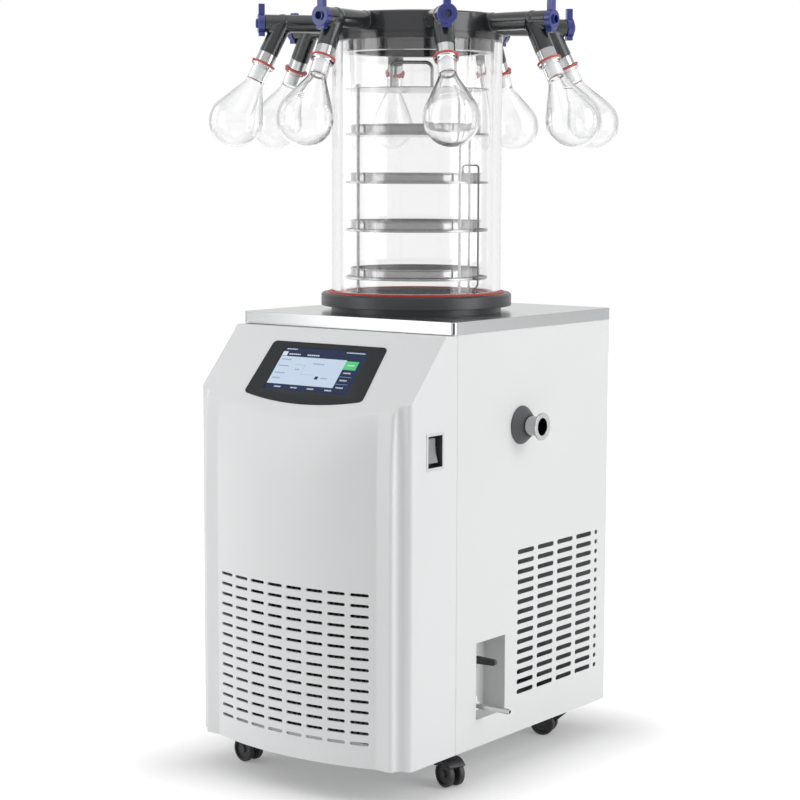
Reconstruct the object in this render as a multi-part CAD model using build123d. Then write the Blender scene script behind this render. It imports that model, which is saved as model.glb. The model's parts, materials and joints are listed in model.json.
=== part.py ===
from build123d import *
import math
import os

# Floor-standing freeze dryer, in millimetres.
# +Z is up, -Y is the front, +X is the right-hand side. The origin lies on the floor, under the axis of the
# drying chamber.

# Cabinet
caster_height = 51.0          # floor to the underside of the cabinet
cabinet_width = 383.0
panel_height = 595.0
axis_to_seam = 160.0          # chamber axis to the joint between front cover and side panels
axis_to_back = 240.0
sheet = 1.2
panel_flange = 14.0
fold_radius = 1.5
seat_gap = 0.2                # play between sheet parts that slot into each other

# Base pan and worktop
pan_sheet = 2.0
pan_rim = 18.0
pan_front_reach = 245.0       # chamber axis to the pan's front edge, under the front cover
worktop_rise = 18.0
worktop_overhang = 1.5
worktop_front = 171.0         # chamber axis to the worktop's front edge
worktop_corner = 6.0
worktop_return = 10.0

# Front cover
cover_wall = 3.0
cheek_front = 267.0           # chamber axis to the front of the cheeks
slope_top_front = 186.5       # chamber axis to the upper edge of the sloping face
slope_foot_height = 557.0     # height at which the sloping face meets the front of the cheeks
cover_top_gap = 0.6           # shadow gap under the worktop rim
cheek_round = 6.0
strip_front = 283.5           # chamber axis to the flat strips beside the bowed panel
strip_inner = 145.0           # half width of the bowed panel
strip_outer = 167.5
bow = 24.0                    # how far the middle of the front stands ahead of the strips
groove_radius = 12.0
groove_bite = 0.5             # how far the hollows beside the strips cut under the cheeks' front
strip_round = 4.5
crown_start = 440.0           # height above which the bowed front leans back
crown_end = 562.0
crown_bow_loss = 22.5
crown_strip_loss = 8.0

# Grilles
slot_pitch = 14.9
slot_rows = 15
front_slot_columns = 8
front_slot_length = 27.4
front_slot_height = 4.5
front_slot_step = 34.7
front_slot_bottom = 85.0      # centre of the lowest row
side_slot_columns = 4
side_slot_length = 43.0
side_slot_height = 7.0
side_slot_step = 53.0
side_slot_start = -6.5        # front end of the first column, from the chamber axis
side_slot_bottom = 110.5
stub_slot_length = 7.6
rear_slot_columns = 3
rear_slot_rows = 8
rear_slot_bottom = 300.0

# Operator panel
bezel_top_drop = 19.0         # height of the sloping face's upper edge over the bezel's upper edge
bezel_top_width = 207.0
bezel_bottom_width = 215.0
bezel_side = 94.0             # along the slope
bezel_bow = 13.0
bezel_corner = 7.0
bezel_depth = 1.4             # pocket in the cover
bezel_thickness = 2.4
screen_width = 151.0
screen_side = 75.5
screen_drop = 9.6             # bezel's upper edge to the screen, along the slope
screen_thickness = 1.8
screen_module = 12.0          # depth of the display behind its glass
screen_frame = 6.0            # ledge of the cover behind the screen's edge
fit_gap = 0.25

# Power switch, in the right cheek
switch_y = -212.0
switch_z = 489.5
switch_width = 36.0
switch_height = 47.0
switch_depth = 16.0
switch_wall = 1.6
switch_lip = 2.5
switch_lip_sheet = 0.8
rocker_depth = 11.0           # cheek's face to the rocker's pivot
rocker_ear = 3.0
rocker_width = 22.0
rocker_height = 34.0
rocker_swing = 8.0            # degrees either side of level
rocker_pin_radius = 2.0
pin_clearance = 0.06

# Vacuum port
port_z = 506.0
port_tube_radius = 14.0
port_bore_radius = 12.5
port_flange_radius = 20.0
port_flange_thickness = 3.0
port_reach = 37.0              # side panel to the face of the port's flange
grommet_radius = 28.5
grommet_tip_radius = 17.5
grommet_height = 13.5
grommet_neck_radius = 20.0
grommet_lip = 2.0

# Drain recess, valve and spout
drain_y = -74.0
drain_z = 147.0
drain_width = 73.0
drain_height = 112.0
drain_depth = 36.0
drain_wall = 1.5
drain_lip = 4.0
drain_pipe_y = -97.0
drain_pipe_inset = 18.5        # side panel's face to the pipe's axis
drain_pipe_radius = 4.5
drain_spout_z = 108.5
spout_radius = 4.0
spout_bore_radius = 2.8
spout_shank_radius = 3.8       # where the nut and elbow hold it
spout_reach = 49.5             # side panel to the spout's end
valve_z = 172.0
valve_body_radius = 7.5
valve_body_length = 26.0
valve_boss_radius = 5.0
valve_boss_reach = 9.5        # pipe's axis to the face the lever turns on
lever_length = 36.0
lever_gap = 0.3
lever_width = 11.0
lever_thickness = 5.5
stem_radius = 2.5
elbow_radius = 6.5
nut_radius = 6.0
nut_length = 5.0

# Cold trap, chamber ring and cylinder
pot_radius = 98.0
pot_wall = 1.5
pot_floor = 470.0
pot_corner = 18.0
pot_flange = 20.0
pot_outlet_x = 60.0
pot_outlet_y = -34.0
pot_pipe_level = 430.0
pot_pipe_bend = 14.0
ring_neck_lap = 1.0            # cylinder's outside to the ring's neck
ring_neck_height = 9.0
ring_lap = 16.0                # cylinder's outside to the ring's edge
ring_thickness = 19.0
ring_chamfer = 2.5
gasket_inner_lap = 7.5         # cylinder's bore to the gasket's inner edge
gasket_outer_lap = 5.0         # cylinder's outside to the gasket's outer edge
gasket_thickness = 4.5
gasket_seat = 2.0
cylinder_radius = 126.0
cylinder_wall = 12.0
cylinder_height = 365.5

# Manifold lid
lid_lap = 1.0                  # cylinder's outside to the lid's side
lid_thickness = 38.5
lid_plug_depth = 16.0
lid_plug_gap = 1.0
lid_edge = 2.0
lid_plug_wall = 21.0
lid_roof = 5.0
lid_groove_drop = 29.0         # lid's upper face to the groove around its side
lid_groove_width = 1.5
lid_groove_depth = 1.2
arm_count = 8
arm_turn = 1.8                # degrees from +X to the first arm
arm_drop = 14.0               # lid's upper face to the arm axis

# Arms, stopcocks and collars
arm_radius = 13.0
arm_boss_radius = 13.8
arm_boss_length = 10.0
arm_seat_depth = 2.0
arm_spigot_radius = 8.0
arm_spigot_length = 26.0
arm_passage = 5.0
arm_reach = 98.6               # lid's side to the outer end of an arm
branch_reach = 72.5            # lid's side to where the branch axis leaves the arm axis
branch_tilt = 26.0            # degrees from straight down, leaning outwards
branch_radius = 14.0
branch_length = 48.0
collar_radius = 13.7
collar_length = 15.0
core_radius = 10.0
cone_length = 22.0
cone_tip_radius = 9.3
seat_clearance = 0.05         # radial play of collars, seals and spigots
seal_radius = 18.0
seal_thickness = 3.0
knob_gap = 0.4
knob_radius = 14.2
knob_thickness = 10.0
knob_edge = 0.8
knob_tab_height = 28.3
knob_tab_width = 10.0
knob_tab_thickness = 8.8
knob_tab_round = 1.6
knob_wing_drop = 18.5
knob_wing_width = 13.0
knob_boss_radius = 6.8
knob_boss_length = 2.5
knob_hollow_radius = 5.6
knob_hollow_depth = 7.0
plug_radius = 8.0
plug_length = 30.0

# Flasks, measured along the branch axis from the arm axis
flask_radius = 39.5
flask_wall = 2.0
flask_throat = 11.3           # bore below the ground joint
flask_neck_radius = 13.3
flask_rim_radius = 17.0
flask_rim_thickness = 3.5
flask_neck_length = 30.0
flask_centre = 91.5           # rim face to the middle of the bulb

# Rack and trays
shelf_gap = 7.5                # cylinder's bore to the shelves
shelf_sheet = 1.2
shelf_rim = 3.6
shelf_pitch = 70.0
shelf_count = 4
shelf_lift = 21.0             # ring's upper face to the underside of the lowest shelf
rod_radius = 2.0
rod_inset = 4.3                # shelf's edge to the rods' axes
rod_turn = -107.0             # degrees from +X to the first rod
rod_foot_radius = 3.4
rod_foot_height = 3.0
top_plate_lift = 67.0         # underside of the highest shelf to the underside of the top plate
top_plate_sheet = 1.5
nut_height = 4.0
nut_across = 7.0
handle_width = 60.0
handle_height = 43.0
handle_radius = 2.5
handle_bend = 10.0
handle_shift = -8.0
handle_turn = 37.2            # degrees from +X to the line through the handle's legs
washer_radius = 5.0
washer_height = 1.2
tray_gap = 10.0                # shelf's edge to the tray's wall
tray_height = 15.0
tray_sheet = 0.9
tray_bead = 1.3
tray_shift = 3.0
tray_turn = 163.0             # degrees from +X to the rack's open side

# Probe lead, held by the rack and the ring
lead_radius = 1.2
lead_gap = 4.4                 # cylinder's bore to the lead's axis
lead_angle = -1.5             # degrees from +X
lead_top_lift = 27.0          # third shelf's underside to the top of the lead
lead_bend = 4.0
probe_inset = 12.5             # tray's wall to the probe's axis
probe_radius = 1.8
probe_length = 14.0
clip_width = 5.0
clip_height = 3.6
clip_reach = 5.0

# Refrigeration behind the grilles
condenser_width = 256.0
condenser_height = 240.0
condenser_depth = 28.0
condenser_front = 236.0
fin_count = 26
fin_gap_share = 0.5
fin_groove = 8.0
shroud_sheet = 1.5
shroud_depth = 34.0
fan_radius = 84.0
fan_tip_gap = 3.0
fan_hub_radius = 24.0
fan_hub_length = 20.0
fan_blade_count = 5
fan_blade_pitch = 32.0        # degrees
fan_blade_chord = 42.0
fan_blade_sheet = 1.6
fan_middle = 188.0            # chamber axis to the fan's middle plane
strut_width = 8.0
strut_sheet = 3.0
motor_radius = 22.0
motor_length = 40.0
shaft_radius = 3.0
shaft_reach = 20.0
compressor_radius = 62.0
compressor_height = 165.0
compressor_x = -70.0
compressor_y = 120.0

# Casters
wheel_radius = 19.0
wheel_width = 9.0
wheel_split = 9.0             # space between the twin wheels
wheel_dish = 3.0
wheel_dish_radius = 14.5
wheel_hub_radius = 5.5
wheel_edge = 1.5
caster_trail = 28.0
caster_plate = 36.0
caster_plate_sheet = 2.0
# swivel axis and the heading from it to the wheels: front left, front right, rear left, rear right
caster_places = ((-112.0, -229.5, 171.0), (146.0, -138.0, -18.0), (-156.0, 173.0, 20.0), (156.0, 173.0, 197.0))
axle_radius = 3.0
fork_thickness = 7.0
hood_radius = 20.5
hood_sheet = 2.5
swivel_radius = 14.0
swivel_height = 6.0
swivel_gap = 0.3
post_radius = 7.0
post_cap_radius = 9.5
post_cap_height = 2.0

# Mains inlet, on the rear panel
inlet_inset = 81.5             # left side panel's face to the middle of the inlet
inlet_z = 110.0
inlet_width = 48.0
inlet_height = 28.0
inlet_depth = 22.0
inlet_lip = 4.0
inlet_lip_sheet = 2.5
inlet_wall = 3.0
inlet_pin = (2.0, 5.0, 14.0)
inlet_pin_step = 7.0

# Levels and faces worked out from the sizes above
panel_bottom = caster_height
panel_top = panel_bottom + panel_height
worktop_top = panel_top + worktop_rise
half_width = cabinet_width / 2
port_face = half_width + port_reach
drain_pipe_x = half_width - drain_pipe_inset
spout_end = half_width + spout_reach
inlet_x = inlet_inset - half_width
ring_top = worktop_top + ring_neck_height + ring_thickness
cylinder_bottom = ring_top - gasket_seat + gasket_thickness
lid_bottom = cylinder_bottom + cylinder_height
lid_top = lid_bottom + lid_thickness
arm_z = lid_top - arm_drop
cylinder_bore = cylinder_radius - cylinder_wall
ring_neck_radius = cylinder_radius + ring_neck_lap
ring_radius = cylinder_radius + ring_lap
ring_bore = pot_radius
gasket_inner = cylinder_bore - gasket_inner_lap
gasket_outer = cylinder_radius + gasket_outer_lap
lid_radius = cylinder_radius + lid_lap
lid_cavity_radius = cylinder_bore - lid_plug_gap - lid_plug_wall
arm_end = lid_radius + arm_reach
branch_start = lid_radius + branch_reach
shelf_radius = cylinder_bore - shelf_gap
rod_circle = shelf_radius - rod_inset
tray_radius = shelf_radius - tray_gap
lead_circle = cylinder_bore - lead_gap
probe_circle = tray_radius - probe_inset
pan_bottom = panel_bottom + sheet
slope_rise = panel_top - cover_top_gap - slope_foot_height
slope_run = cheek_front - slope_top_front
slope_angle = math.degrees(math.atan2(slope_rise, slope_run))
arm_angles = [arm_turn + 360 / arm_count * k for k in range(arm_count)]
shelf_levels = [ring_top + shelf_lift + shelf_pitch * k for k in range(shelf_count)]
top_plate_z = shelf_levels[-1] + top_plate_lift
rod_angles = [rod_turn, rod_turn + 90, rod_turn + 180]


def block(x0, x1, y0, y1, z0, z1):
    """A box between two corners."""
    return Pos((x0 + x1) / 2, (y0 + y1) / 2, (z0 + z1) / 2) * Box(x1 - x0, y1 - y0, z1 - z0)


def rod(radius, z0, z1, x=0, y=0):
    """A round bar parallel to Z."""
    return Pos(x, y, (z0 + z1) / 2) * Cylinder(radius, z1 - z0)


def rod_x(radius, x0, x1, y=0, z=0):
    """A round bar parallel to X."""
    return Pos((x0 + x1) / 2, y, z) * Rot(0, 90, 0) * Cylinder(radius, x1 - x0)


def rod_y(radius, y0, y1, x=0, z=0):
    """A round bar parallel to Y."""
    return Pos(x, (y0 + y1) / 2, z) * Rot(90, 0, 0) * Cylinder(radius, y1 - y0)


def tube(outer, inner, z0, z1):
    """A pipe or ring around Z."""
    return rod(outer, z0, z1) - rod(inner, z0 - 1, z1 + 1)


def turned(points):
    """A solid of revolution around Z from (radius, height) corners."""
    profile = make_face(Polyline(*points, close=True))
    return revolve(Plane.XZ * profile, Axis.Z)


def slot_cutters(length, height, starts, heights, depth, place):
    """Slots with eased ends, as one group of cutters: place(start, height) gives where each begins."""
    ease = 0.3 * height
    half = height / 2
    outline = Polyline(
        (ease, -half), (length - ease, -half), (length, -half + ease), (length, half - ease),
        (length - ease, half), (ease, half), (0, half - ease), (0, -half + ease), close=True,
    )
    cutter = extrude(make_face(outline), depth)
    return [place(start, level) * cutter for level in heights for start in starts]


# ---- Cabinet ----

def base_pan():
    """Bottom pan: a wide rear part between the side panels and a narrower nose under the front cover."""
    rear = half_width - sheet - seat_gap
    nose = half_width - panel_flange - seat_gap
    front_edge = -axis_to_seam + sheet + seat_gap
    back_edge = axis_to_back - sheet * 2 - seat_gap

    def outline(inset):
        return make_face(Polyline(
            (-rear + inset, back_edge - inset), (rear - inset, back_edge - inset),
            (rear - inset, front_edge + inset), (nose - inset, front_edge + inset),
            (nose - inset, -pan_front_reach + inset), (-nose + inset, -pan_front_reach + inset),
            (-nose + inset, front_edge + inset), (-rear + inset, front_edge + inset), close=True,
        ))

    pan = Pos(0, 0, pan_bottom) * extrude(outline(0), pan_rim)
    return pan - Pos(0, 0, pan_bottom + pan_sheet) * extrude(outline(pan_sheet), pan_rim)


def drain_span(margin):
    """Y and Z limits of the drain recess, widened by a margin."""
    width = drain_width / 2 + margin
    height = drain_height / 2 + margin
    return drain_y - width, drain_y + width, drain_z - height, drain_z + height


def side_panel(side):
    """A folded sheet panel with a flange on all four edges; side is +1 on the right and -1 on the left."""
    inner = half_width - panel_flange
    panel = block(inner, half_width, -axis_to_seam, axis_to_back, panel_bottom, panel_top)
    outer_edges = panel.edges().filter_by(Axis.Z).group_by(Axis.X)[-1]
    panel = fillet(outer_edges, fold_radius)
    panel -= block(inner - 1, half_width - sheet, -axis_to_seam + sheet, axis_to_back - sheet,
                   panel_bottom + sheet, panel_top - sheet)
    if side > 0:
        panel -= rod_x(grommet_neck_radius, half_width - 3 * sheet, half_width + 1, 0, port_z)
        panel -= block(half_width - 3 * sheet, half_width + 1, *drain_span(0))
    levels = [side_slot_bottom + slot_pitch * row for row in range(slot_rows)]
    starts = [side_slot_start + side_slot_step * column for column in range(side_slot_columns)]
    face = Plane(origin=(half_width - 3 * sheet, 0, 0), x_dir=(0, 1, 0), z_dir=(1, 0, 0))
    cutters = slot_cutters(side_slot_length, side_slot_height, starts, levels, 5 * sheet,
                           lambda start, level: face * Pos(start, level, 0))
    stub = [side_slot_start + side_slot_step * side_slot_columns]
    cutters += slot_cutters(stub_slot_length, side_slot_height, stub, levels, 5 * sheet,
                            lambda start, level: face * Pos(start, level, 0))
    panel -= cutters
    return panel if side > 0 else mirror(panel, Plane.YZ)


def rear_panel():
    """Flat rear sheet behind the side panels' flanges, with a vent and the mains inlet's opening."""
    edge = half_width - sheet - seat_gap
    face = axis_to_back - sheet
    panel = block(-edge, edge, face - sheet, face, panel_bottom + sheet, panel_top - sheet - seat_gap)
    panel -= block(inlet_x - inlet_width / 2, inlet_x + inlet_width / 2, face - 2 * sheet, face + 1,
                   inlet_z - inlet_height / 2, inlet_z + inlet_height / 2)
    levels = [rear_slot_bottom + slot_pitch * row for row in range(rear_slot_rows)]
    first = -(side_slot_step * (rear_slot_columns - 1) + side_slot_length) / 2
    starts = [first + side_slot_step * column for column in range(rear_slot_columns)]
    back = Plane(origin=(0, face + 1, 0), x_dir=(-1, 0, 0), z_dir=(0, 1, 0))
    return panel - slot_cutters(side_slot_length, side_slot_height, starts, levels, -5 * sheet,
                                lambda start, level: back * Pos(start, level, 0))


def worktop():
    """Folded stainless pan, open below, with a return lip under its rim and a hole for the cold trap."""
    edge = half_width + worktop_overhang
    back = axis_to_back + worktop_overhang
    top = block(-edge, edge, -worktop_front, back, panel_top, worktop_top)
    top = fillet(top.edges().filter_by(Axis.Z), worktop_corner)
    top -= block(-edge + sheet, edge - sheet, -worktop_front + sheet, back - sheet,
                 panel_top + sheet, worktop_top - sheet)
    lip = sheet + worktop_return
    top -= block(-edge + lip, edge - lip, -worktop_front + lip, back - lip, panel_top - 1, panel_top + 2 * sheet)
    return top - rod(pot_radius + pot_wall + seat_gap, worktop_top - 3 * sheet, worktop_top + 1)


def slope_at(height, inset=0):
    """Distance from the chamber axis to the sloping face at a height; inset moves the face inwards."""
    shift = inset / math.sin(math.radians(slope_angle))
    return cheek_front - shift - (height - slope_foot_height) * slope_run / slope_rise


def front_outline(height, inset):
    """Plan of the strips, the bowed front and the hollows beside them, at a height."""
    lean = max(0.0, (height - crown_start) / (crown_end - crown_start)) ** 2
    strip = strip_front - inset - crown_strip_loss * lean
    middle = strip_front + bow - inset - crown_bow_loss * lean - crown_strip_loss * lean
    outer = strip_outer - inset * 0.5
    turn = strip_round
    back = cheek_front - groove_radius
    start = outer + turn + groove_radius
    hollow = strip - turn - (cheek_front - inset) + groove_bite
    curve = ThreePointArc((-strip_inner, -strip), (0, -middle), (strip_inner, -strip))
    right = Line((strip_inner, -strip), (outer, -strip))
    right += ThreePointArc((outer, -strip), (outer + turn * 0.7071, -strip + turn * 0.2929),
                           (outer + turn, -strip + turn))
    right += ThreePointArc((outer + turn, -strip + turn),
                           (outer + turn + groove_radius * 0.2929, -strip + turn + hollow * 0.7071),
                           (start, -strip + turn + hollow))
    left = mirror(right, Plane.YZ)
    closing = Polyline((start, -strip + turn + hollow), (start, -back + inset), (-start, -back + inset),
                       (-start, -strip + turn + hollow))
    return Pos(0, 0, height) * make_face(Wire([*curve.edges(), *right.edges(), *left.edges(), *closing.edges()]))


def cover_forms(inset):
    """The cover's two outer forms, cheeks and bowed front, or with an inset the hollows inside them."""
    half = half_width - inset
    floor = panel_bottom - (1 if inset else 0)
    back = -axis_to_seam + (1 if inset else 0)
    roof = panel_top - cover_top_gap - inset
    foot = slope_at(roof, inset)
    front = cheek_front - inset
    bend = slope_foot_height + (slope_at(slope_foot_height, inset) - front) * slope_rise / slope_run
    profile = make_face(Polyline((back, floor), (-front, floor), (-front, bend), (-foot, roof), (back, roof),
                                 close=True))
    cheeks = Plane.YZ * extrude(profile, half, both=True)
    if not inset:
        front_edges = cheeks.edges().filter_by(Axis.Z).group_by(Axis.Y)[0]
        cheeks = fillet(front_edges, cheek_round)
    trunk = extrude(front_outline(floor, inset), crown_start - floor, dir=(0, 0, 1))
    step = (crown_end - crown_start) / 3
    crown = loft([front_outline(crown_start + step * k, inset) for k in range(4)])
    slope = make_face(Polyline(
        (-front - 90, bend + 90 * slope_rise / slope_run - 180 * slope_rise / slope_run),
        (-foot + 30, roof + 30 * slope_rise / slope_run), (-front - 90, roof + 90), close=True,
    ))
    above = Plane.YZ * extrude(slope, half_width + 20, both=True)
    return [cheeks, trunk + crown - above]


def on_slope(drop, lift=0):
    """Plane on the sloping face, below its upper edge by a distance along the slope; its Y runs up the slope."""
    slope = Plane(origin=(0, -slope_top_front, panel_top - cover_top_gap), x_dir=(1, 0, 0),
                  z_dir=(0, -slope_rise, slope_run))
    return slope * Pos(0, -drop, lift)


def bezel_outline(margin):
    """Outline of the bezel with its bowed lower edge, widened by a margin."""
    top = bezel_top_width / 2 + margin
    bottom = bezel_bottom_width / 2 + margin
    low = -bezel_side - margin
    outline = Wire([
        Edge.make_line((-top, margin), (top, margin)), Edge.make_line((top, margin), (bottom, low)),
        ThreePointArc((bottom, low), (0, low - bezel_bow), (-bottom, low)).edge(),
        Edge.make_line((-bottom, low), (-top, margin)),
    ])
    face = make_face(outline)
    return fillet(face.vertices(), bezel_corner)


def bezel_plane(lift=0):
    """Plane on the sloping face with its origin on the bezel's upper edge."""
    return on_slope(bezel_top_drop / math.sin(math.radians(slope_angle)), lift)


def screen_block(margin, low, high):
    """The screen's rectangle, widened by a margin, between two levels over the sloping face."""
    width = screen_width + 2 * margin
    side = screen_side + 2 * margin
    middle = -screen_drop - screen_side / 2
    return bezel_plane() * (Pos(0, middle, (low + high) / 2) * Box(width, side, high - low))


def front_cover():
    """Moulded cover: flat cheeks, bowed front with a grille, sloping top with a pocket for the panel."""
    cheeks, front = cover_forms(0)
    cheeks_hollow, front_hollow = cover_forms(cover_wall)
    cover = cheeks + front - front_hollow - cheeks_hollow
    cover -= bezel_plane(-bezel_depth) * extrude(bezel_outline(fit_gap), 10)
    cover -= screen_block(-screen_frame, -3 * cover_wall, 0)
    cover -= switch_block(fit_gap, half_width - 2 * cover_wall, half_width + 1)
    levels = [front_slot_bottom + slot_pitch * row for row in range(slot_rows)]
    first = -(front_slot_step * (front_slot_columns - 1) + front_slot_length) / 2
    starts = [first + front_slot_step * column for column in range(front_slot_columns)]
    ahead = Plane(origin=(0, -strip_front - bow - 5, 0), x_dir=(1, 0, 0), z_dir=(0, 1, 0))
    return cover - slot_cutters(front_slot_length, front_slot_height, starts, levels, 2 * bow,
                                lambda start, level: ahead * Pos(start, -level, 0))


def screen_bezel():
    """Raised frame around the touch screen."""
    frame = bezel_plane(-bezel_depth) * extrude(bezel_outline(0), bezel_thickness)
    return frame - screen_block(fit_gap, -3 * bezel_thickness, 3 * bezel_thickness)


def touch_screen():
    """Glass plate on the cover's ledge with the display module behind it."""
    glass = screen_block(0, -bezel_depth, screen_thickness - bezel_depth)
    return glass + screen_block(-screen_frame - fit_gap, -bezel_depth - screen_module, -bezel_depth)


# ---- Power switch ----

def switch_block(margin, x0, x1):
    """The switch recess's rectangle, widened by a margin, between two faces along X."""
    width = switch_width / 2 + margin
    height = switch_height / 2 + margin
    return block(x0, x1, switch_y - width, switch_y + width, switch_z - height, switch_z + height)


def switch_housing():
    """Tub in the right cheek with a lip outside and two ears that carry the rocker."""
    floor = half_width - switch_depth
    pivot = half_width - rocker_depth
    tub = switch_block(0, floor - switch_wall, half_width)
    tub += switch_block(switch_lip, half_width, half_width + switch_lip_sheet)
    tub -= switch_block(-switch_wall, floor, half_width + 2)
    inner = rocker_width / 2 + fit_gap
    for side in (-1, 1):
        near, far = sorted((switch_y + side * inner, switch_y + side * (inner + rocker_ear)))
        tub += block(floor - 0.5, pivot + rocker_ear, near, far, switch_z - 5, switch_z + 5)
    return tub - rod_y(rocker_pin_radius + pin_clearance, switch_y - inner - rocker_ear - 1,
                       switch_y + inner + rocker_ear + 1, pivot, switch_z)


def power_rocker():
    """Rocker with a hollowed front, resting with its upper half pressed in."""
    half = rocker_height / 2
    side = Polyline((-3, -6), (-3, 6), (-1, half), (5.4, half), (3, 0), (5.4, -half), (-1, -half), close=True)
    rocker = Plane.XZ * extrude(make_face(side), rocker_width / 2, both=True)
    pin = rocker_width / 2 + fit_gap + rocker_ear
    rocker += rod_y(rocker_pin_radius, -pin, pin)
    return Pos(half_width - rocker_depth, switch_y, switch_z) * Rot(0, -rocker_swing, 0) * rocker


# ---- Vacuum port and drain ----

def vacuum_port():
    """Small-flange vacuum pipe from the cold trap's wall out through the side panel."""
    rim = port_face - port_flange_thickness
    pipe = rod_x(port_tube_radius, pot_radius, port_face, 0, port_z)
    flange = Polyline((0, 0), (port_flange_radius, 0), (port_flange_radius, port_flange_thickness),
                      (port_tube_radius, port_flange_thickness + 1.6), (0, port_flange_thickness + 1.6), close=True)
    pipe += Pos(port_face, 0, port_z) * Rot(0, -90, 0) * revolve(Plane.XZ * make_face(flange), Axis.Z)
    pipe -= rod_x(port_bore_radius, 0, rim + port_flange_thickness + 1, 0, port_z)
    return pipe - rod(pot_radius + pot_wall, port_z - 2 * port_flange_radius, port_z + 2 * port_flange_radius)


def port_grommet():
    """Rubber cone around the vacuum pipe, buttoned into the side panel."""
    face = half_width
    profile = Polyline(
        (port_tube_radius + seat_clearance, grommet_height), (grommet_tip_radius, grommet_height),
        (grommet_radius - 1.5, 2.5), (grommet_radius, 1.5), (grommet_radius, 0),
        (grommet_neck_radius - seat_clearance, 0), (grommet_neck_radius - seat_clearance, -sheet),
        (grommet_neck_radius + 4, -sheet), (grommet_neck_radius + 2, -sheet - grommet_lip),
        (port_tube_radius + seat_clearance, -sheet - grommet_lip), close=True,
    )
    cone = revolve(Plane.XZ * make_face(profile), Axis.Z)
    return Pos(face, 0, port_z) * Rot(0, 90, 0) * cone


def drain_pocket():
    """Tub behind the side panel's window, pierced above for the drain pipe."""
    mouth = half_width - sheet
    floor = mouth - drain_depth
    tub = block(floor - drain_wall, mouth, *drain_span(drain_wall))
    tub += block(mouth - drain_wall, mouth, *drain_span(drain_lip))
    tub -= block(floor, mouth + 1, *drain_span(0))
    roof = drain_z + drain_height / 2
    return tub - rod(drain_pipe_radius + 0.5, roof - 1, roof + drain_wall + 1, drain_pipe_x, drain_pipe_y)


def drain_valve():
    """Ball valve on the vertical drain pipe, with the elbow and nut that hold the spout."""
    x, y = drain_pipe_x, drain_pipe_y
    low = valve_z - valve_body_length / 2
    high = valve_z + valve_body_length / 2
    valve = rod(valve_body_radius, low + 4, high - 4, x, y) + rod(valve_body_radius + 1, low, low + 5, x, y)
    valve += rod(valve_body_radius + 1, high - 5, high, x, y)
    valve += rod_y(valve_boss_radius, y, y + valve_boss_reach, x, valve_z)
    valve += rod(drain_pipe_radius, drain_spout_z, low + 1, x, y)
    valve += block(x - elbow_radius, x + elbow_radius, y - elbow_radius, y + elbow_radius,
                   drain_spout_z - elbow_radius, drain_spout_z + 12)
    back = half_width - sheet - drain_depth
    nut_start = x + elbow_radius
    valve += rod_x(elbow_radius - 1, back, x, y, drain_spout_z)
    nut = extrude(RegularPolygon(nut_radius, 6, major_radius=False), nut_length)
    valve += Pos(nut_start, y, drain_spout_z) * Rot(0, 90, 0) * nut
    valve -= rod_y(stem_radius + pin_clearance, y + 2, y + valve_boss_reach + 1, x, valve_z)
    valve -= rod_x(spout_shank_radius + seat_clearance, x + 1, nut_start + nut_length + 1, y, drain_spout_z)
    return valve


def drain_lever():
    """Flat lever that points outwards when shut, with its stem in the valve's boss."""
    face = drain_pipe_y + valve_boss_reach + lever_gap
    half = lever_width / 2
    bar = Plane.XZ * extrude(
        make_face(Polyline((0, -half), (lever_length - half, -half * 0.8), (lever_length - half, half * 0.8),
                           (0, half), close=True)), lever_thickness / 2, both=True)
    bar += rod_y(half, -lever_thickness / 2, lever_thickness / 2)
    bar += rod_y(half * 0.8, -lever_thickness / 2, lever_thickness / 2, lever_length - half, 0)
    bar = Pos(drain_pipe_x, face + lever_thickness / 2, valve_z) * bar
    return bar + rod_y(stem_radius, drain_pipe_y + 3, face + 1, drain_pipe_x, valve_z)


def drain_spout():
    """Short tube from the elbow out past the side panel."""
    start = drain_pipe_x + 1
    shoulder = drain_pipe_x + elbow_radius + nut_length + 0.5
    spout = rod_x(spout_radius, shoulder, spout_end, drain_pipe_y, drain_spout_z)
    spout += rod_x(spout_shank_radius, start, shoulder + 1, drain_pipe_y, drain_spout_z)
    return spout - rod_x(spout_bore_radius, start - 1, spout_end + 1, drain_pipe_y, drain_spout_z)


def power_inlet():
    """Appliance inlet with three blades, on the rear panel."""
    face = axis_to_back - sheet
    fit = fit_gap
    body = block(inlet_x - inlet_width / 2 + fit, inlet_x + inlet_width / 2 - fit, face - inlet_depth, face + 1,
                 inlet_z - inlet_height / 2 + fit, inlet_z + inlet_height / 2 - fit)
    body += block(inlet_x - inlet_width / 2 - inlet_lip, inlet_x + inlet_width / 2 + inlet_lip, face,
                  face + inlet_lip_sheet, inlet_z - inlet_height / 2 - inlet_lip,
                  inlet_z + inlet_height / 2 + inlet_lip)
    cavity = inlet_depth - inlet_wall
    body -= block(inlet_x - inlet_width / 4 - inlet_wall, inlet_x + inlet_width / 4 + inlet_wall, face - cavity,
                  face + 4, inlet_z - inlet_height / 4 - inlet_wall, inlet_z + inlet_height / 4 + inlet_wall)
    thick, wide, long = inlet_pin
    for step, lift in ((-1, -2), (0, 2), (1, -2)):
        x = inlet_x + step * inlet_pin_step
        z = inlet_z + lift
        body += block(x - thick / 2, x + thick / 2, face - cavity - 1, face - cavity + long, z - wide / 2, z + wide / 2)
    return body


# ---- Cold trap, ring, cylinder and lid ----

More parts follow.
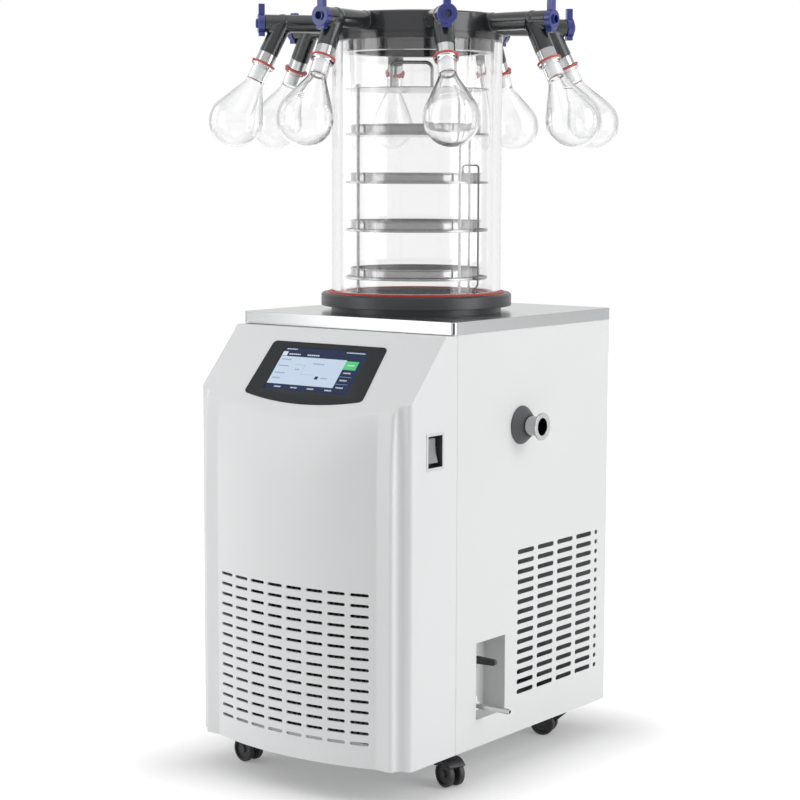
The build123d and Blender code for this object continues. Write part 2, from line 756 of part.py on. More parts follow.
def trap_pot():
    """Deep-drawn pot hanging by its flange on the worktop, with the drain pipe that leaves its floor."""
    outer = pot_radius + pot_wall
    low = pot_floor - pot_wall
    flange_top = worktop_top + pot_wall
    pot = turned([(0, low), (outer, low), (outer, worktop_top), (pot_radius + pot_flange, worktop_top),
                  (pot_radius + pot_flange, flange_top), (0, flange_top)])
    pot = fillet(pot.edges().filter_by(GeomType.CIRCLE).sort_by(Axis.Z)[0], pot_corner + pot_wall)
    hollow = turned([(0, pot_floor), (pot_radius, pot_floor), (pot_radius, flange_top + 1), (0, flange_top + 1)])
    hollow = fillet(hollow.edges().filter_by(GeomType.CIRCLE).sort_by(Axis.Z)[0], pot_corner)
    x, y = drain_pipe_x, drain_pipe_y
    path = FilletPolyline(
        (pot_outlet_x, pot_outlet_y, pot_floor - pot_wall / 2), (pot_outlet_x, pot_outlet_y, pot_pipe_level),
        (x, y, pot_pipe_level), (x, y, valve_z + valve_body_length / 2), radius=pot_pipe_bend,
    )
    start = Plane(origin=path @ 0, z_dir=path % 0)
    pipe = sweep(start * Circle(drain_pipe_radius), path)
    pot = pot + pipe - hollow - rod_x(port_bore_radius, 0, outer + 1, 0, port_z)
    return pot - rod(spout_bore_radius, low - 12, pot_floor + 1, pot_outlet_x, pot_outlet_y)


def chamber_ring():
    """Stepped ring that covers the pot's flange and carries the gasket in a shallow seat."""
    neck_top = worktop_top + ring_neck_height
    edge = ring_chamfer
    recess = pot_radius + pot_flange + 2 * seat_gap
    return turned([
        (recess, worktop_top), (ring_neck_radius, worktop_top), (ring_neck_radius, neck_top),
        (ring_radius - edge, neck_top), (ring_radius, neck_top + edge), (ring_radius, ring_top - edge),
        (ring_radius - edge, ring_top), (gasket_outer + seat_gap, ring_top),
        (gasket_outer + seat_gap, ring_top - gasket_seat), (gasket_inner - seat_gap, ring_top - gasket_seat),
        (gasket_inner - seat_gap, ring_top), (ring_bore, ring_top), (ring_bore, worktop_top + pot_wall),
        (recess, worktop_top + pot_wall),
    ])


def ring_gasket():
    """Flat ring gasket under the cylinder."""
    low = ring_top - gasket_seat
    edge = 0.8
    return turned([
        (gasket_inner, low), (gasket_outer, low), (gasket_outer, low + gasket_thickness - edge),
        (gasket_outer - edge, low + gasket_thickness), (gasket_inner + edge, low + gasket_thickness),
        (gasket_inner, low + gasket_thickness - edge),
    ])


def chamber_cylinder():
    """Clear cylinder of the drying chamber."""
    return tube(cylinder_radius, cylinder_bore, cylinder_bottom, lid_bottom)


def manifold_lid():
    """Lid with a plug that centres it in the cylinder, a hollow inside and eight side bores for the arms."""
    plug = cylinder_bore - lid_plug_gap
    roof = lid_top - lid_roof
    low = lid_bottom - lid_plug_depth
    groove = lid_top - lid_groove_drop
    groove_floor = lid_radius - lid_groove_depth
    lid = turned([
        (0, roof), (0, lid_top), (lid_radius - lid_edge, lid_top), (lid_radius, lid_top - lid_edge),
        (lid_radius, groove), (groove_floor, groove), (groove_floor, groove - lid_groove_width),
        (lid_radius, groove - lid_groove_width), (lid_radius, lid_bottom), (plug, lid_bottom), (plug, low),
        (lid_cavity_radius, low),
        (lid_cavity_radius, roof),
    ])
    seat = lid_radius - arm_seat_depth
    for angle in arm_angles:
        bore = rod_x(arm_spigot_radius + seat_clearance, lid_cavity_radius - 5, lid_radius + 5, 0, arm_z)
        bore += rod_x(arm_boss_radius + seat_clearance, seat, lid_radius + 5, 0, arm_z)
        lid -= Rot(0, 0, angle) * bore
    return lid


# ---- Arms, stopcocks and flasks; each is made along +X and then turned to its place ----

def branch_frame(distance=0):
    """Place on the branch axis at a distance from the arm axis; its -Z runs down the branch."""
    return Pos(branch_start, 0, arm_z) * Rot(0, -branch_tilt, 0) * Pos(0, 0, -distance)


def around(shape):
    """One copy of a shape for every arm, as a compound."""
    return Compound([Rot(0, 0, angle) * shape for angle in arm_angles])


def valve_arms():
    """Arms with a boss at the lid, a blind bore for the stopcock and a slanting branch with a cone."""
    seat = lid_radius - arm_seat_depth
    arm = rod_x(arm_radius, seat, arm_end, 0, arm_z) + rod_x(arm_boss_radius, seat, seat + arm_boss_length, 0, arm_z)
    arm += rod_x(arm_spigot_radius, seat - arm_spigot_length, seat + 1, 0, arm_z)
    core_end = branch_length + collar_length + seal_thickness
    arm += branch_frame() * (rod(branch_radius, -branch_length, 0) + Sphere(branch_radius))
    arm += branch_frame() * rod(core_radius, -core_end, -branch_length + 1)
    arm += branch_frame(core_end + cone_length / 2) * Cone(cone_tip_radius, core_radius, cone_length)
    arm -= branch_frame() * rod(arm_passage, -core_end - cone_length - 1, 0)
    arm -= rod_x(arm_passage, seat - arm_spigot_length - 1, branch_start + 3, 0, arm_z)
    plug_end = arm_end + knob_gap - plug_length
    arm -= rod_x(plug_radius + pin_clearance, plug_end - knob_gap, arm_end + 1, 0, arm_z)
    return around(arm)


def branch_collars():
    """Plain collars around the branch cores."""
    low = branch_length + collar_length
    collar = rod(collar_radius, -low, -branch_length) - rod(core_radius + seat_clearance, -low - 1, 0)
    return around(branch_frame() * collar)


def flask_seals():
    """Flat seals between collars and flask rims."""
    high = branch_length + collar_length
    seal = rod(seal_radius, -high - seal_thickness, -high) - rod(core_radius + seat_clearance, -high - 9, 0)
    return around(branch_frame() * seal)


def touch_point(radius, depth, bulb):
    """Where a line from a neck's lower end touches the bulb, as radius and depth below the rim."""
    reach = math.hypot(radius, flask_centre - depth)
    heading = math.atan2(depth - flask_centre, radius) + math.acos(bulb / reach)
    return bulb * math.cos(heading), flask_centre + bulb * math.sin(heading)


def flask_profile(corners, bulb):
    """Half section of a pear-shaped solid: corners down its neck, then a round bulb."""
    shoulder, depth = corners[-1]
    touch = touch_point(shoulder, depth, bulb)
    points = [(radius, -level) for radius, level in [(0, corners[0][1]), *corners, touch]]
    bottom = (0, -flask_centre - bulb)
    side = (bulb * math.cos(math.radians(-40)), -flask_centre + bulb * math.sin(math.radians(-40)))
    lines = Polyline(*points) + ThreePointArc(points[-1], side, bottom) + Line(bottom, points[0])
    return revolve(Plane.XZ * make_face(lines), Axis.Z)


def flask(angle):
    """Round-bottomed flask hanging on an arm's cone."""
    lower = flask_rim_thickness + 1.5
    outer = flask_profile([(flask_rim_radius, 0), (flask_rim_radius, flask_rim_thickness),
                           (flask_neck_radius, lower), (flask_neck_radius, flask_neck_length)], flask_radius)
    inner = flask_profile([(flask_throat, cone_length + 3), (flask_throat, flask_neck_length + 0.5)],
                          flask_radius - flask_wall)
    joint = Pos(0, 0, -cone_length / 2) * Cone(cone_tip_radius + seat_clearance, core_radius + seat_clearance,
                                               cone_length)
    joint += rod(cone_tip_radius + seat_clearance, -cone_length - 4, -cone_length)
    joint += rod(core_radius + seat_clearance, 0, 1)
    rim = branch_length + collar_length + seal_thickness
    return Rot(0, 0, angle) * branch_frame(rim) * (outer - inner - joint)


def valve_knob(angle):
    """Stopcock handle with a tall tab, a short wing and the plug that turns in the arm."""
    start = arm_end + knob_gap
    back = start + knob_thickness
    knob = rod_x(knob_radius, start, back, 0, arm_z)
    knob = chamfer(knob.edges().filter_by(GeomType.CIRCLE), knob_edge)
    tab = start + knob_tab_thickness
    grip = block(start, tab, -knob_tab_width / 2, knob_tab_width / 2, arm_z, arm_z + knob_tab_height)
    knob += fillet(grip.edges().filter_by(Axis.X).sort_by(Axis.Z)[-2:], knob_tab_round)
    wing = block(start, tab, -knob_wing_width / 2, knob_wing_width / 2, arm_z - knob_wing_drop, arm_z)
    knob += fillet(wing.edges().filter_by(Axis.X).sort_by(Axis.Z)[:2], knob_tab_round)
    knob += rod_x(knob_boss_radius, back - 1, back + knob_boss_length, 0, arm_z)
    knob += rod_x(plug_radius, start - plug_length, start + 1, 0, arm_z)
    end = back + knob_boss_length
    knob -= rod_x(knob_hollow_radius, end - knob_hollow_depth, end + 1, 0, arm_z)
    return Rot(0, 0, angle) * knob


# ---- Rack, trays and probe ----

def rack_frame():
    """Four rimmed shelves pressed on three rods that stand on the ring."""
    bars = []
    for angle in rod_angles:
        bar = rod(rod_radius, ring_top, top_plate_z + top_plate_sheet + nut_height + 1, rod_circle)
        bars.append(Rot(0, 0, angle) * (bar + rod(rod_foot_radius, ring_top, ring_top + rod_foot_height, rod_circle)))
    shelves = []
    for level in shelf_levels:
        shelf = rod(shelf_radius, level, level + shelf_rim)
        shelf -= rod(shelf_radius - shelf_sheet, level + shelf_sheet, level + shelf_rim + 1)
        for angle in rod_angles:
            shelf -= Rot(0, 0, angle) * rod(rod_radius + seat_clearance, level - 1, level + shelf_rim + 1, rod_circle)
        shelves.append(shelf)
    return Compound([*bars, *shelves])


def rack_top():
    """Top plate with its bow handle, and the nuts that hold it on the rods."""
    plate = rod(shelf_radius, top_plate_z, top_plate_z + top_plate_sheet)
    for angle in rod_angles:
        nut = extrude(RegularPolygon(nut_across / 2, 6, major_radius=False), nut_height)
        plate += Rot(0, 0, angle) * Pos(rod_circle, 0, top_plate_z + top_plate_sheet) * nut
        plate -= Rot(0, 0, angle) * rod(rod_radius + seat_clearance, top_plate_z - 1, top_plate_z + 20, rod_circle)
    base = top_plate_z + top_plate_sheet / 2
    top = base + handle_height - handle_radius
    half = handle_width / 2
    path = FilletPolyline((-half, 0, base), (-half, 0, top), (half, 0, top), (half, 0, base), radius=handle_bend)
    bow_bar = sweep(Plane(origin=path @ 0, z_dir=path % 0) * Circle(handle_radius), path)
    for x in (-half, half):
        bow_bar += rod(washer_radius, base, top_plate_z + top_plate_sheet + washer_height, x)
    return plate + Rot(0, 0, handle_turn) * Pos(handle_shift, 0, 0) * bow_bar


def tray(level):
    """Round tray with a rolled rim, pushed a little towards the rack's open side."""
    low = level + shelf_sheet
    inner = tray_radius - tray_sheet
    top = low + tray_height
    pan = turned([(0, low), (tray_radius - 2, low), (tray_radius, low + 2), (tray_radius, top - 2 * tray_bead),
                  (tray_radius + tray_bead, top - tray_bead), (tray_radius, top), (inner, top),
                  (inner, low + 2 + tray_sheet * 0.4), (tray_radius - 2 - tray_sheet * 0.4, low + tray_sheet),
                  (0, low + tray_sheet)])
    shift = math.radians(tray_turn)
    return Pos(tray_shift * math.cos(shift), tray_shift * math.sin(shift), 0) * pan


def probe_lead():
    """Thin lead from the ring up the rack's side, clipped to the lowest shelf, with a probe over a tray's rim."""
    top = shelf_levels[2] + lead_top_lift
    low = shelf_levels[2] + shelf_sheet + tray_sheet + 2
    start = gasket_inner - seat_gap - lead_radius - 0.3
    path = FilletPolyline(
        (start, 0, ring_top), (start, 0, ring_top + 6), (lead_circle, 0, ring_top + 15), (lead_circle, 0, top),
        (probe_circle, 0, top), (probe_circle, 0, low), radius=lead_bend,
    )
    lead = sweep(Plane(origin=path @ 0, z_dir=path % 0) * Circle(lead_radius), path)
    lead += rod(probe_radius, low, low + probe_length, probe_circle)
    shelf = shelf_levels[0]
    clip = block(shelf_radius - 2, shelf_radius + clip_reach, -clip_width / 2, clip_width / 2, shelf,
                 shelf + clip_height)
    lead += clip - rod(shelf_radius, shelf - 1, shelf + clip_height + 1)
    return Rot(0, 0, lead_angle) * lead


# ---- Refrigeration ----

def condenser():
    """Finned block behind the front grille."""
    low = pan_bottom + pan_sheet
    step = condenser_width / fin_count
    gap = step * fin_gap_share
    half = condenser_width / 2
    points = [(half, -condenser_front + condenser_depth), (-half, -condenser_front + condenser_depth)]
    for k in range(fin_count):
        left = -half + step * k
        points += [(left, -condenser_front), (left + step - gap, -condenser_front),
                   (left + step - gap, -condenser_front + fin_groove), (left + step, -condenser_front + fin_groove)]
    fins = Pos(0, 0, low) * extrude(make_face(Polyline(*points, close=True)), condenser_height, dir=(0, 0, 1))
    x, y, _ = caster_places[0]
    return fins - rod(post_cap_radius + 1, low - 1, low + swivel_gap + post_cap_height + 1, x, y)


def fan_shroud():
    """Shallow box behind the condenser with the fan's opening, struts and motor."""
    low = pan_bottom + pan_sheet
    front = -condenser_front + condenser_depth
    back = front + shroud_depth
    half = condenser_width / 2
    middle = low + condenser_height / 2
    shroud = block(-half, half, front, back, low, low + condenser_height)
    shroud -= block(-half + shroud_sheet, half - shroud_sheet, front - 1, back - shroud_sheet,
                    low + shroud_sheet, low + condenser_height - shroud_sheet)
    shroud -= rod_y(fan_radius + fan_tip_gap, back - 3, back + 1, 0, middle)
    reach = fan_radius + 3 * fan_tip_gap
    strut = block(-reach, reach, back - 0.5, back + strut_sheet, -strut_width / 2, strut_width / 2)
    shroud += Pos(0, 0, middle) * (Rot(0, 45, 0) * strut + Rot(0, -45, 0) * strut)
    shroud += rod_y(motor_radius, back - 0.5, back + motor_length, 0, middle)
    return shroud + rod_y(shaft_radius, back - shaft_reach, back, 0, middle)


def fan_blades():
    """Fan with a cup hub and pitched blades, on the motor's shaft."""
    back = -condenser_front + condenser_depth + shroud_depth
    middle = pan_bottom + pan_sheet + condenser_height / 2
    hub = rod_y(fan_hub_radius, -fan_hub_length / 2, fan_hub_length / 2)
    reach = fan_radius - fan_hub_radius + 4
    blade = Box(fan_blade_chord, fan_blade_sheet, reach)
    blade = Pos(0, 0, fan_radius - reach / 2) * Rot(0, 0, fan_blade_pitch) * blade
    for k in range(fan_blade_count):
        hub += Rot(0, 360 / fan_blade_count * k, 0) * blade
    hub -= rod_y(shaft_radius + pin_clearance, fan_middle + back - shaft_reach - 0.5, fan_hub_length, 0, 0)
    return Pos(0, -fan_middle, middle) * hub


def compressor():
    """Domed compressor shell with a foot plate, standing on the base pan."""
    low = pan_bottom + pan_sheet
    high = low + compressor_height
    shell = turned([(0, low + 8), (compressor_radius, low + 8), (compressor_radius, high), (0, high)])
    shell = fillet(shell.edges().filter_by(GeomType.CIRCLE).sort_by(Axis.Z)[-1], compressor_radius * 0.6)
    shell += rod(compressor_radius + 3, low + 70, low + 74)
    plate = Pos(0, 0, low + 7) * Box(2 * compressor_radius, 2 * compressor_radius, 3)
    shell += plate
    foot = compressor_radius - 11
    for x in (-foot, foot):
        for y in (-foot, foot):
            shell += rod(8, low, low + 6.5, x, y)
    return Pos(compressor_x, compressor_y, 0) * shell


# ---- Casters; each is made around its swivel axis with the wheels towards +X ----

def base_with_plates():
    """Base pan with the four caster plates under it, pierced for the swivel posts."""
    pan = base_pan()
    for x, y, _ in caster_places:
        pan += Pos(x, y, pan_bottom - caster_plate_sheet / 2) * Box(caster_plate, caster_plate, caster_plate_sheet)
    for x, y, _ in caster_places:
        pan -= rod(post_radius + pin_clearance, pan_bottom - 5, pan_bottom + 5, x, y)
    return pan


def caster_fork(x, y, heading):
    """Swivel head with its post, the web between the wheels and the hood over them."""
    top = pan_bottom - caster_plate_sheet - swivel_gap
    cap = pan_bottom + pan_sheet + swivel_gap
    head = rod(swivel_radius, top - swivel_height, top) + rod(post_radius, top - 1, cap + 1)
    head += rod(post_cap_radius, cap, cap + post_cap_height)
    trail = caster_trail
    web = Plane.XZ * extrude(make_face(Polyline(
        (-swivel_radius + 1, top - swivel_height / 2), (-swivel_radius + 1, top - swivel_height - 3),
        (trail - 10, wheel_radius - 6), (trail + 6, wheel_radius - 6), (trail + 6, wheel_radius + 8),
        (swivel_radius, top - swivel_height / 2), close=True)), fork_thickness / 2, both=True)
    width = wheel_split / 2 + wheel_width
    sector = Plane.XZ * extrude(make_face(Polyline(
        (0, 0), (40 * math.cos(math.radians(35)), 40 * math.sin(math.radians(35))), (0, 48),
        (40 * math.cos(math.radians(155)), 40 * math.sin(math.radians(155))), close=True)), width, both=True)
    hood = rod_y(hood_radius + hood_sheet, -width, width) - rod_y(hood_radius, -width - 1, width + 1)
    hood = Pos(trail, 0, wheel_radius) * (hood & sector)
    rib = Pos(trail, 0, wheel_radius) * (rod_y(hood_radius + 1, -fork_thickness / 2, fork_thickness / 2)
                                         & sector)
    fork = head + web + hood + rib
    fork -= rod_y(axle_radius + pin_clearance, -10, 10, trail, wheel_radius)
    return Pos(x, y, 0) * Rot(0, 0, heading) * fork


def caster_wheel(x, y, heading):
    """Twin wheels with dished faces on one axle."""
    split = wheel_split / 2
    wheel = rod(wheel_radius, split, split + wheel_width)
    wheel = chamfer(wheel.edges(), wheel_edge)
    wheel -= rod(wheel_dish_radius, split + wheel_width - wheel_dish, split + wheel_width + 1)
    wheel += rod(wheel_hub_radius, split + wheel_width - wheel_dish - 1, split + wheel_width - 0.5)
    pair = wheel + mirror(wheel, Plane.XY) + rod(axle_radius, -split - 2, split + 2)
    return Pos(x, y, wheel_radius) * Rot(0, 0, heading) * Pos(caster_trail, 0, 0) * Rot(90, 0, 0) * pair


nodes = {
    "base_pan": base_with_plates, "front_cover": front_cover, "side_panel_right": lambda: side_panel(1),
    "side_panel_left": lambda: side_panel(-1), "rear_panel": rear_panel, "worktop": worktop,
    "screen_bezel": screen_bezel, "touch_screen": touch_screen, "switch_housing": switch_housing,
    "power_rocker": power_rocker, "vacuum_port": vacuum_port, "port_grommet": port_grommet,
    "drain_pocket": drain_pocket, "drain_valve": drain_valve, "drain_lever": drain_lever,
    "drain_spout": drain_spout, "power_inlet": power_inlet, "trap_pot": trap_pot, "chamber_ring": chamber_ring,
    "ring_gasket": ring_gasket, "chamber_cylinder": chamber_cylinder, "manifold_lid": manifold_lid,
    "valve_arms": valve_arms, "branch_collars": branch_collars, "flask_seals": flask_seals,
    "rack_frame": rack_frame, "rack_top": rack_top, "probe_lead": probe_lead, "condenser": condenser,
    "fan_shroud": fan_shroud, "fan_blades": fan_blades, "compressor": compressor,
}
for number, level in enumerate(shelf_levels, 1):
    nodes[f"tray_{number}"] = lambda level=level: tray(level)
for number, angle in enumerate(arm_angles, 1):
    nodes[f"flask_{number}"] = lambda angle=angle: flask(angle)
    nodes[f"valve_knob_{number}"] = lambda angle=angle: valve_knob(angle)
for number, place in enumerate(caster_places, 1):
    nodes[f"caster_fork_{number}"] = lambda place=place: caster_fork(*place)
    nodes[f"caster_wheel_{number}"] = lambda place=place: caster_wheel(*place)

os.makedirs("parts", exist_ok=True)
for name, make in nodes.items():
    solid = make()
    print(name, len(solid.solids()), "solid(s)", round(solid.volume / 1000, 2), "cm3")
    export_step(solid, f"parts/{name}.step")
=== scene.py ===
import bpy
import bmesh
import json
import math
import numpy as np
from mathutils import Matrix, Vector


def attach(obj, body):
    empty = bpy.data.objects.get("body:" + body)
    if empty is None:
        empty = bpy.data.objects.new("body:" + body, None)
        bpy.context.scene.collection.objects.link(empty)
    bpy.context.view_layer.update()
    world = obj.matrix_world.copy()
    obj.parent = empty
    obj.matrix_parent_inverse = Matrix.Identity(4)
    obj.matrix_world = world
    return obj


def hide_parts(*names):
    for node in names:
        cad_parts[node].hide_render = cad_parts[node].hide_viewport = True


# Floor-standing freeze dryer: cabinet, cold trap, drying chamber with trays, and a lid manifold with flasks.
# Sizes in the dictionaries are millimetres; meshes are in metres.

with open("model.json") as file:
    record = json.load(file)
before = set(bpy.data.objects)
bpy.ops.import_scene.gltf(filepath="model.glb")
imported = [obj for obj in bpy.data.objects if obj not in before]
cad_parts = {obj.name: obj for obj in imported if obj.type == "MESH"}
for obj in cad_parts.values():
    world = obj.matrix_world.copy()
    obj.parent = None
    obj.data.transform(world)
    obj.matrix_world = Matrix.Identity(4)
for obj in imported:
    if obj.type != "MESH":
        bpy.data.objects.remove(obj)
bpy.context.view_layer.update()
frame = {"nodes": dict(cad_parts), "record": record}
nodes = frame["nodes"]
mm = 0.001
print("frame loaded:", len(nodes), "solids")


def makeObject(name, points, faces, smooth=True):
    # points in millimetres, faces as lists of corner numbers
    mesh = bpy.data.meshes.new(name)
    mesh.from_pydata((np.asarray(points, float) * mm).tolist(), [], [tuple(map(int, f)) for f in faces])
    mesh.validate()
    mesh.polygons.foreach_set("use_smooth", np.full(len(mesh.polygons), smooth))
    obj = bpy.data.objects.new(name, mesh)
    bpy.context.scene.collection.objects.link(obj)
    return obj


def gridFaces(rows, cols, wrapRows=False, wrapCols=False):
    # quads of a grid of points numbered row by row; wrap joins the last row or column to the first
    r = np.arange(rows if wrapRows else rows - 1)
    c = np.arange(cols if wrapCols else cols - 1)
    r, c = np.meshgrid(r, c, indexing="ij")
    r2, c2 = (r + 1) % rows, (c + 1) % cols
    return np.stack([r * cols + c, r * cols + c2, r2 * cols + c2, r2 * cols + c], -1).reshape(-1, 4)


def tidyMesh(obj, merge=0.004, collapse=0.0001, outward=True):
    # joins doubles, so that seams and poles are closed, drops faces without area and turns the rest outwards
    bm = bmesh.new()
    bm.from_mesh(obj.data)
    bmesh.ops.remove_doubles(bm, verts=bm.verts, dist=merge * mm)
    bmesh.ops.dissolve_degenerate(bm, dist=collapse * mm, edges=bm.edges)
    if outward:
        bmesh.ops.recalc_face_normals(bm, faces=bm.faces)
    bm.to_mesh(obj.data)
    bm.free()
    return obj


def markSharp(bm, degrees):
    # smooth faces, with the edges that turn by more than this angle kept sharp
    limit = math.radians(degrees)
    for edge in bm.edges:
        edge.smooth = len(edge.link_faces) == 2 and edge.calc_face_angle(0.0) < limit
    for face in bm.faces:
        face.smooth = True


def sharpen(obj, degrees=30.0):
    bm = bmesh.new()
    bm.from_mesh(obj.data)
    markSharp(bm, degrees)
    bm.to_mesh(obj.data)
    bm.free()
    return obj


def fair(obj):
    # shading that follows the large faces at each corner
    faired = obj.modifiers.new("area normals", "WEIGHTED_NORMAL")
    faired.keep_sharp = True
    return obj


def soften(obj, width, segments=2, degrees=35.0):
    # rounds every edge that turns by more than the given angle
    bevel = obj.modifiers.new("rounded edges", "BEVEL")
    bevel.width = width * mm
    bevel.segments = segments
    bevel.limit_method = "ANGLE"
    bevel.angle_limit = math.radians(degrees)
    bevel.harden_normals = True
    bevel.miter_outer = "MITER_ARC"
    return obj


def dressedCopy(name, width, whole, merge=0.001, flat=0.5, degrees=35.0):
    # a merged copy of a solid with its edges rounded; whole makes one face of each flat area
    bm = bmesh.new()
    bm.from_mesh(nodes[name].data)
    bmesh.ops.remove_doubles(bm, verts=bm.verts, dist=merge * mm)
    if whole:
        bmesh.ops.dissolve_limit(bm, angle_limit=math.radians(flat), verts=bm.verts, edges=bm.edges)
    markSharp(bm, degrees)
    mesh = bpy.data.meshes.new(name + "_dressed")
    bm.to_mesh(mesh)
    bm.free()
    obj = bpy.data.objects.new(name + "_dressed", mesh)
    bpy.context.scene.collection.objects.link(obj)
    if width:
        soften(obj, width, degrees=degrees)
    return obj if whole else fair(obj)


def place(obj, material, body, slotName, *replaced):
    # gives a finished piece its material and its body, and hides the solids it stands for; its slot's name is not
    # used
    obj.data.materials.clear()
    obj.data.materials.append(material)
    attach(obj, body)
    if replaced:
        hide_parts(*replaced)
    return obj


# the material slot and the body of every solid
slotOf = {s["node"]: s["material_slot"] for s in frame["record"]["subparts"]}
bodyOf = {n: b for b, ns in frame["record"]["behaviour"]["bodies"].items() for n in ns}


class Wire:
    # a shader value: an expression on it adds Math nodes
    def __init__(self, finish, socket):
        self.finish, self.socket = finish, socket

    def math(self, operation, *others):
        return self.finish.wire("Math", {"operation": operation}, dict(enumerate((self, *others))))

    def __add__(self, other):
        return self.math("ADD", other)

    def __sub__(self, other):
        return self.math("SUBTRACT", other)

    def __rsub__(self, other):
        return self.finish.wire("Math", {"operation": "SUBTRACT"}, {0: other, 1: self})

    def __mul__(self, other):
        return self.math("MULTIPLY", other)

    def __truediv__(self, other):
        return self.math("DIVIDE", other)

    def __gt__(self, other):
        return self.math("GREATER_THAN", other)

    def __lt__(self, other):
        return self.math("LESS_THAN", other)

    __radd__ = __add__
    __rmul__ = __mul__

    def rise(self, low, high):
        # 0 below low, 1 above high, smooth between them
        return self.finish.wire("MapRange", {"interpolation_type": "SMOOTHSTEP"},
                                {"Value": self, "From Min": low, "From Max": high})


class Finish:
    # the nodes of one material, or of the world
    def __init__(self, name, world=False):
        self.owner = (bpy.data.worlds if world else bpy.data.materials).new(name)
        self.owner.use_nodes = True
        self.tree = self.owner.node_tree
        self.tree.nodes.clear()
        self.output = self.node("OutputWorld" if world else "OutputMaterial")

    def node(self, kind, settings=None, sockets=None):
        # any node, from its type, its settings and the values or links of its sockets
        node = self.tree.nodes.new("ShaderNode" + kind)
        for key, value in (settings or {}).items():
            setattr(node, key, value)
        for key, value in (sockets or {}).items():
            if isinstance(value, Wire):
                value = value.socket
            if isinstance(value, bpy.types.NodeSocket):
                self.tree.links.new(value, node.inputs[key])
            elif isinstance(value, tuple) and node.inputs[key].type == "RGBA":
                node.inputs[key].default_value = (*value, 1.0)
            else:
                node.inputs[key].default_value = value
        return node

    def wire(self, kind, settings=None, sockets=None, output=0):
        return Wire(self, self.node(kind, settings, sockets).outputs[output])

    def here(self):
        # object coordinates, in metres
        return self.wire("TexCoord", output="Object")

    def axis(self, letter):
        return self.wire("SeparateXYZ", {}, {0: self.here()}, output=letter)

    def seen(self):
        # 1 for the rays that see a background, 0 for those that light the object
        path = self.node("LightPath")
        camera, glossy, through = (Wire(self, path.outputs[f"Is {kind} Ray"])
                                   for kind in ("Camera", "Glossy", "Transmission"))
        return camera + glossy + through

    def noise(self, scale, detail=2.0, stretch=(1, 1, 1), rough=0.5):
        where = self.wire("Mapping", {"vector_type": "POINT"}, {"Vector": self.here(), "Scale": stretch})
        return self.wire("TexNoise", {}, {"Vector": where, "Scale": scale, "Detail": detail, "Roughness": rough})

    def blend(self, factor, first, second):
        return self.wire("Mix", {"data_type": "RGBA"}, {0: factor, 6: first, 7: second}, output=2)

    def bump(self, height, strength, distance):
        return self.wire("Bump", {}, {"Height": height, "Strength": strength, "Distance": distance * mm})

    def surface(self, lampsPass=None, **sockets):
        # the main shader; lampsPass is the tint of light let through by clear pieces
        special = {"ior": "IOR", "specular": "Specular IOR Level"}
        names = {key: special[key] if key in special else
                 key[0].upper() + "".join(" " + c if c.isupper() else c for c in key[1:]) for key in sockets}
        shader = self.node("BsdfPrincipled", {}, {names[key]: value for key, value in sockets.items()})
        if lampsPass:
            clear = self.node("BsdfTransparent", {}, {"Color": lampsPass})
            shader = self.node("MixShader", {}, {0: self.node("LightPath").outputs["Is Shadow Ray"],
                                                 1: shader.outputs[0], 2: clear.outputs[0]})
        return self.show(shader)

    def show(self, shader):
        # ends the tree with this shader and gives the material or world
        self.tree.links.new(shader.outputs[0], self.output.inputs[0])
        return self.owner


def around(base, spread):
    # two tones, a little darker and a little lighter than a colour
    return tuple(c * (1 - spread) for c in base), tuple(min(c * (1 + spread), 1.0) for c in base)


def paintedFinish(name, base, roughness, grain, bump, spread=0.015):
    # orange-peel bump from fine noise, slow drift of tone, and a little dust in the roughness
    f = Finish(name)
    drift = f.noise(3.0, detail=3.0).rise(0.3, 0.7)
    dust = f.noise(40.0, detail=3.0) - 0.5
    return f.surface(baseColor=f.blend(drift, *around(base, spread)), roughness=roughness + dust * 0.12,
                     normal=f.bump(f.noise(grain), bump, 0.05))


def steelFinish(name, base, roughness, across=(1, 1, 1), scale=60.0, bump=0.08, spread=0.1):
    # brushed grain: noise drawn out along one direction, in tone, roughness and bump
    f = Finish(name)
    grain = f.noise(scale, detail=4.0, stretch=across, rough=0.65)
    blotch = f.noise(9.0)
    return f.surface(baseColor=f.blend(grain, *around(base, spread)), metallic=1.0,
                     roughness=roughness + (grain - 0.5) * 0.18 + (blotch - 0.5) * 0.06,
                     normal=f.bump(grain, bump, 0.02))


def turnedFinish(name, base, roughness, metallic=1.0, bump=0.06, spread=0.08, ring=900.0, coat=0.0):
    # lathe marks: fine bands in distance from the chamber axis and in height
    f = Finish(name)
    flat = f.wire("VectorMath", {"operation": "MULTIPLY"}, {0: f.here(), 1: (1, 1, 0)})
    radius = f.wire("VectorMath", {"operation": "LENGTH"}, {0: flat}, output="Value")
    where = f.wire("CombineXYZ", {}, {0: radius * ring, 1: f.axis("Z") * ring})
    marks = f.wire("TexNoise", {}, {"Vector": where, "Scale": 1.0, "Detail": 3.0})
    smear = f.noise(14.0, detail=3.0)
    return f.surface(baseColor=f.blend(marks, *around(base, spread)), metallic=metallic, coatWeight=coat,
                     roughness=roughness + (marks - 0.5) * 0.12 + (smear - 0.5) * 0.08,
                     normal=f.bump(marks, bump, 0.01))


def switchFinish(name, rim, inside, side=0.1914):
    # pale rim that stands on the cabinet's side, which is this far from the middle in metres, and dark inside
    f = Finish(name)
    flow = f.noise(60.0, detail=3.0)
    colour = f.blend(f.axis("X") > side, inside, rim)
    return f.surface(baseColor=f.blend(flow * 0.08, colour, (0.2, 0.2, 0.2)), roughness=0.42 + flow * 0.1,
                     normal=f.bump(f.noise(700.0), 0.08, 0.03))


